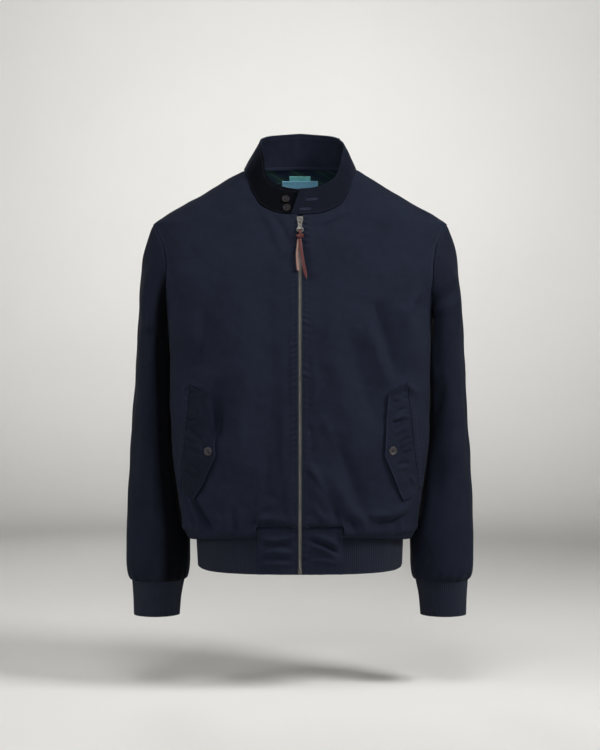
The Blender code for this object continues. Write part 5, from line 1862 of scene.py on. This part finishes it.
def turned_to(points, centre, out):
    """Places moved so that their Z lies along `out` at a place."""
    out = np.array(out) / np.linalg.norm(out)
    side = np.cross((0.0, 0.0, 1.0), out)
    side /= np.linalg.norm(side)
    return points @ np.array([side, np.cross(out, side), out]) + centre


def flap_button_place(side):
    """A flap button's centre and the way that it faces."""
    x, z = np.array(FLAP_BUTTONS[side][0]), np.array(FLAP_BUTTONS[side][1])
    turn = turn_at(BODY, x, z)
    out = normals(plain_body, turn, z)
    return body(turn, z) + out * (1.5 * FLAP_LIFT + 0.0018 + 0.0015), out


def collar_spot(x, z, first, last):
    """The turn and height on the collar, between two turns, of a place seen from the front."""
    turn, height = np.meshgrid(np.linspace(first, last, 331), np.linspace(0, 1, 201))
    points = collar(turn, height)
    best = np.argmin((points[..., 0] - x) ** 2 + (points[..., 2] - z) ** 2)
    return turn.flat[best], height.flat[best]


def collar_button_place(name):
    """A collar button's centre on the under end and the way that it faces."""
    turn, height = collar_spot(*COLLAR_BUTTONS[name], -COLLAR_UNDER_END, -COLLAR_LAP_FROM)
    out = -normals(collar, turn, height)
    return collar(turn, height) + out * 0.0016, out


class JACKET_OT_buttons(bpy.types.Operator):
    """Turn the four horn buttons and sew them on"""

    bl_idname = "jacket.buttons"
    bl_label = "Buttons"

    def execute(self, context):
        trim = context.scene.jacket_trim
        places = {f"flap_button_{side}": flap_button_place(side) for side in FLAP_BUTTONS}
        places.update({f"collar_button_{name}": collar_button_place(name) for name in COLLAR_BUTTONS})
        for name, (centre, out) in places.items():
            radius = trim.flap_button_radius if "flap" in name else trim.collar_button_radius
            button = button_blank(radius, trim.button_thick)
            button.name = f"{name}_horn"
            for vertex in button.data.vertices:
                vertex.co = turned_to(np.array(vertex.co), centre, out)
            # The collar buttons take the horn with painted shade.
            button.data.materials.append(finish("horn" if "flap" in name else "dark_horn"))
            place_in_jacket(button, "horn", name)
            reach = radius * 0.22
            cross = []
            for sign in (1, -1):
                line = np.linspace((-reach, -sign * reach, 0), (reach, sign * reach, 0), 9)
                line[:, 2] = trim.button_thick * 0.26 + 0.0004 * np.sin(np.linspace(0, math.pi, 9))
                turned = turned_to(line, centre, out)
                widths, thicks = np.full(9, 0.0011), np.full(9, 0.0006)
                cross.append(strap_shape(turned, np.tile(out, (9, 1)), widths, thicks))
            thread = outward(new_piece(f"{name}_thread", *joined(cross), finish("thread")))
            place_in_jacket(thread, "twill")
        return {"FINISHED"}


# ---------------------------------------------------------------- topstitching


# How far from the centre the zip's topstitching runs.
ZIP_STITCH = 0.0105


def on_body(turn, level):
    """A line on the body's cloth and the way that it faces there."""
    return body(turn, level), normals(plain_body, turn, level)


def armhole_line(apart, start, end, side):
    """A line on the body a set distance outside the armhole seam."""
    around = np.linspace(start, end, 120)
    grown = 1 + apart / ARMHOLE_REACH
    sine, cosine = np.sin(around), np.cos(around)
    wide = np.where(sine > 0, ARMHOLE_FRONT, ARMHOLE_BACK) * grown
    turn = math.pi / 2 - SEAM_FORWARD * (1 - cosine) / 2 - wide * sine
    level = ARMHOLE_MIDDLE - ARMHOLE_HALF * grown * cosine
    return on_body(turn if side == "right" else -turn, level)


def body_seams():
    """The topstitch rows on the fronts and the back."""
    lines = []
    for side, sign in (("left", -1), ("right", 1)):
        z = np.linspace(-0.0885, TAB_TOP, 300)
        lines.append(on_body(turn_at(BODY, sign * (ZIP_STITCH + 0 * z), z), z))
        for apart in (0.0022, 0.0085):
            lines.append(armhole_line(apart, math.radians(35), math.radians(325), side))
        shoulder = np.linspace(ARMHOLE_TOP + 0.012, -0.012, 90)
        for apart in (0.0020, 0.0075):
            turn = math.pi / 2 - SEAM_FORWARD + apart / column(BODY, BODY_COLUMNS, "front", shoulder)
            lines.append(on_body(sign * turn, shoulder))
        for apart in (0.0018, 0.0068):
            turn = np.radians(np.linspace(5, 74, 110))
            lines.append(on_body(sign * turn, neck_height(turn) - apart))
    return lines


def tab_seams():
    """The topstitch rows on the two hem tabs."""
    lines = []
    for sign in (-1, 1):
        z = np.linspace(TAB_TOP - 0.002, RIB_BOTTOM + 0.002, 45)
        for x in (ZIP_STITCH, TAB_WIDTH - 0.0030):
            turn = turn_at(TAB, sign * (x + 0 * z), z)
            lines.append((tab_face(turn, z), normals(plain_tab, turn, z)))
    return lines


def outward_at(x, z):
    """The way that the front faces at given x and z."""
    return normals(plain_body, turn_at(BODY, x, z), z)


def flap_seams():
    """The two topstitch rows round each flap's free edges, and the two outboard of its seam."""
    lines = []
    for side in FLAPS:
        share = flap_point_share(side)
        for inset in (0.0022, 0.0080):
            wide, long = 1 - inset / FLAP_ACROSS, inset / 0.19
            down = np.concatenate([
                np.full(20, long), np.linspace(long, share, 60), np.linspace(share, 1 - long, 50)
            ])
            across = np.concatenate([np.linspace(0.03, wide, 20), np.full(110, wide)])
            places = [flap_places(side, down[i : i + 1], across[i : i + 1]) for i in range(len(down))]
            x = np.array([place[0][0, 0] for place in places])
            z = np.array([place[1][0, 0] for place in places])
            lines.append((on_front(x, z, flap_height(side, x, z)), outward_at(x, z)))
        grid_x, grid_z, _ = flap_grid(side, FLAP_STEP)
        for column_at in (2, 8):
            x, z = grid_x[2:-2, column_at], grid_z[2:-2, column_at]
            lines.append((on_front(x, z, flap_height(side, x, z)), outward_at(x, z)))
    return lines


def collar_seams():
    """The topstitch rows along the collar's edges, outside and inside."""
    lines = []
    end = COLLAR_UNDER_END - 3.6
    over = COLLAR_OVER_END - 3.6
    for height in (0.055, 0.88):
        slant = COLLAR_OVER_SLANT * height
        turn = np.linspace(-end, over - slant, 360)
        out = -normals(collar, turn, height)
        points = collar_face(turn, height)
        lines.append((points, out))
        lines.append((points - out * COLLAR_WALL, -out))
    for at, slanting in ((-end, 0.0), (over, COLLAR_OVER_SLANT)):
        height = np.linspace(0.055, 0.88, 40)
        turn = at - slanting * height
        out = -normals(collar, turn, height)
        lines.append((collar_face(turn, height), out))
    return lines


def buttonhole(middle, along, out, half):
    """The close stitches worked round a buttonhole, on cloth that faces `out`."""
    along = along - out * np.dot(along, out)
    along /= np.linalg.norm(along)
    across = np.cross(out, along)
    lines = []
    for at in np.arange(-half, half, 0.0009):
        for sign in (-1, 1):
            start = middle + along * at + across * sign * 0.0002
            lines.append((np.array([start, start + across * sign * 0.0014]), np.array([out, out])))
    for at in (-half - 0.0004, half + 0.0004):
        ends = np.array([middle + along * at - across * 0.0016, middle + along * at + across * 0.0016])
        lines.append((ends, np.array([out, out])))
    return lines


COLLAR_HOLES = ((0.0200, -0.0580, 0.14), (0.0090, -0.0740, 0.04))
FLAP_HOLES = {"left": (-0.1610, -0.4580, -0.12), "right": (0.1595, -0.4590, 0.25)}


def buttonholes():
    """The stitches round the collar's two buttonholes and each flap's one."""
    lines = []
    for x, z, slope in COLLAR_HOLES:
        turn, height = collar_spot(x, z, 150.0, COLLAR_OVER_END)
        out = -normals(collar, turn, height)
        lines += buttonhole(collar_face(turn, height), np.array([1.0, 0.0, slope]), out, 0.0085)
    for side, (x, z, slope) in FLAP_HOLES.items():
        place = np.array(x), np.array(z)
        middle = on_front(*place, flap_height(side, *place))
        lines += buttonhole(middle, np.array([1.0, 0.0, slope]), outward_at(*place), 0.0080)
    return lines


class JACKET_OT_stitches(bpy.types.Operator):
    """Topstitch the seams and work the buttonholes"""

    bl_idname = "jacket.stitches"
    bl_label = "Topstitching"

    def execute(self, context):
        cloth = context.scene.jacket_cloth
        thread = finish("thread")
        add_stitches("body_topstitching", body_seams() + tab_seams(), cloth, thread)
        add_stitches("flap_topstitching", flap_seams(), cloth, thread)
        add_stitches("collar_topstitching", collar_seams(), cloth, thread)
        add_stitches("buttonhole_stitches", buttonholes(), cloth, finish("buttonhole"))
        return {"FINISHED"}


# ---------------------------------------------------------------- stage


def add_softbox(name, place, aim, size, power):
    """A square soft light at a place, aimed at a point."""
    light = bpy.data.lights.new(name, "AREA")
    light.shape = "SQUARE"
    light.size = size
    light.energy = power
    light.spread = math.radians(100)
    lamp = bpy.data.objects.new(name, light)
    lamp.location = place
    lamp.visible_camera = False
    lamp.rotation_euler = (Vector(aim) - Vector(place)).to_track_quat("-Z", "Y").to_euler()
    bpy.context.scene.collection.objects.link(lamp)
    return lamp


STAGE_RADIUS = 6.5
STAGE_HEIGHT = 8
STAGE_ROUNDING = 3.5
CAMERA_PLACE = (0.0, -2.8, -0.342)
CAMERA_LENS = 80.64
# The soft lights: place, the height aimed at, size, the power's name and its share.
SOFTBOXES = {
    "key_softbox": ((1.9, -1.1, 1.35), -0.32, 0.8, "key_power", 1.0),
    "fill_softbox": ((-2.3, -1.0, 0.6), -0.35, 0.9, "fill_power", 1.0),
    "front_softbox": ((0.3, -3.4, 0.3), -0.3, 1.0, "front_power", 1.0),
    "top_softbox": ((-0.2, -1.5, 1.9), -0.2, 1.2, "key_power", 0.45),
    "back_softbox": ((-0.8, 3.2, 0.6), -0.3, 1.0, "back_power", 1.0),
}


class JACKET_OT_stage(bpy.types.Operator):
    """Set up the floor, backdrop, soft lights and camera"""

    bl_idname = "jacket.stage"
    bl_label = "Stage"

    def execute(self, context):
        scene = context.scene
        stage = scene.jacket_stage
        deselect()
        bpy.ops.mesh.primitive_circle_add(
            vertices=96, radius=STAGE_RADIUS, fill_type="NGON", location=(0, 0, stage.floor_height)
        )
        sweep = context.object
        sweep.name = "paper_sweep"
        bpy.ops.object.transform_apply(location=True, rotation=True, scale=True)
        bpy.ops.object.mode_set(mode="EDIT")
        bpy.ops.mesh.select_mode(type="EDGE")
        bpy.ops.mesh.select_all(action="SELECT")
        bpy.ops.mesh.extrude_edges_move(TRANSFORM_OT_translate={"value": (0, 0, STAGE_HEIGHT)})
        bpy.ops.mesh.select_all(action="SELECT")
        bpy.ops.mesh.normals_make_consistent(inside=True)
        bpy.ops.object.mode_set(mode="OBJECT")
        apply_modifier(
            sweep, "BEVEL", width=STAGE_ROUNDING, segments=14, limit_method="ANGLE",
            angle_limit=math.radians(60),
        )
        sweep.data.shade_smooth()
        sweep.data.materials.append(plain_finish("seamless_paper", stage.floor_colour, 0.9))
        world = bpy.data.worlds.new("even_sky")
        world.use_nodes = True
        world.node_tree.nodes["Background"].inputs["Color"].default_value = (0.95, 0.97, 1.0, 1.0)
        world.node_tree.nodes["Background"].inputs["Strength"].default_value = stage.sky
        scene.world = world
        for name, (place, height, size, watts, share) in SOFTBOXES.items():
            add_softbox(name, place, (0.0, 0.0, height), size, share * getattr(stage, watts))
        for side, (x, y) in enumerate(((0, 1), (1, 0), (0, -1), (-1, 0))):
            place = (2.5 * x, 2.5 * y, 3.6)
            aim = (STAGE_RADIUS * x, STAGE_RADIUS * y, 0.0)
            add_softbox(f"wall_softbox_{side}", place, aim, 2.0, stage.wall_power)
        camera = bpy.data.cameras.new("front_camera")
        camera.lens = CAMERA_LENS
        camera.clip_end = 50
        eye = bpy.data.objects.new("front_camera", camera)
        eye.location = CAMERA_PLACE
        eye.rotation_euler = (math.pi / 2, 0.0, 0.0)
        scene.collection.objects.link(eye)
        scene.camera = eye
        scene.view_settings.view_transform = "Standard"
        return {"FINISHED"}


class JACKET_PT_panel(bpy.types.Panel):
    """The jacket's sizes, colours and pieces"""

    bl_idname = "JACKET_PT_panel"
    bl_label = "Harrington Jacket"
    bl_space_type = "VIEW_3D"
    bl_region_type = "UI"
    bl_category = "Jacket"

    def draw(self, context):
        for group in (context.scene.jacket_cloth, context.scene.jacket_trim, context.scene.jacket_stage):
            box = self.layout.box()
            for name in group.__annotations__:
                box.prop(group, name)
        pieces = self.layout.column(align=True)
        for operator in OPERATORS:
            pieces.operator(operator.bl_idname)


OPERATORS = (
    JACKET_OT_stage,
    JACKET_OT_thong,
    JACKET_OT_fronts,
    JACKET_OT_back,
    JACKET_OT_sleeves,
    JACKET_OT_ribs,
    JACKET_OT_tabs,
    JACKET_OT_collar,
    JACKET_OT_flaps,
    JACKET_OT_lining,
    JACKET_OT_zip,
    JACKET_OT_buttons,
    JACKET_OT_stitches,
)
GROUPS = {"jacket_cloth": JacketCloth, "jacket_trim": JacketTrim, "jacket_stage": JacketStage}


def register():
    for name, group in GROUPS.items():
        bpy.utils.register_class(group)
        setattr(bpy.types.Scene, name, bpy.props.PointerProperty(type=group))
    for operator in OPERATORS:
        bpy.utils.register_class(operator)
    bpy.utils.register_class(JACKET_PT_panel)


def unregister():
    bpy.utils.unregister_class(JACKET_PT_panel)
    for operator in reversed(OPERATORS):
        bpy.utils.unregister_class(operator)
    for name, group in GROUPS.items():
        delattr(bpy.types.Scene, name)
        bpy.utils.unregister_class(group)


def main():
    register()
    bpy.ops.jacket.stage()
    bpy.ops.jacket.thong()
    bpy.ops.jacket.fronts()
    bpy.ops.jacket.back()
    bpy.ops.jacket.sleeves()
    bpy.ops.jacket.ribs()
    bpy.ops.jacket.tabs()
    bpy.ops.jacket.collar()
    bpy.ops.jacket.flaps()
    bpy.ops.jacket.lining()
    bpy.ops.jacket.zip()
    bpy.ops.jacket.buttons()
    bpy.ops.jacket.stitches()


if __name__ == "__main__":
    main()
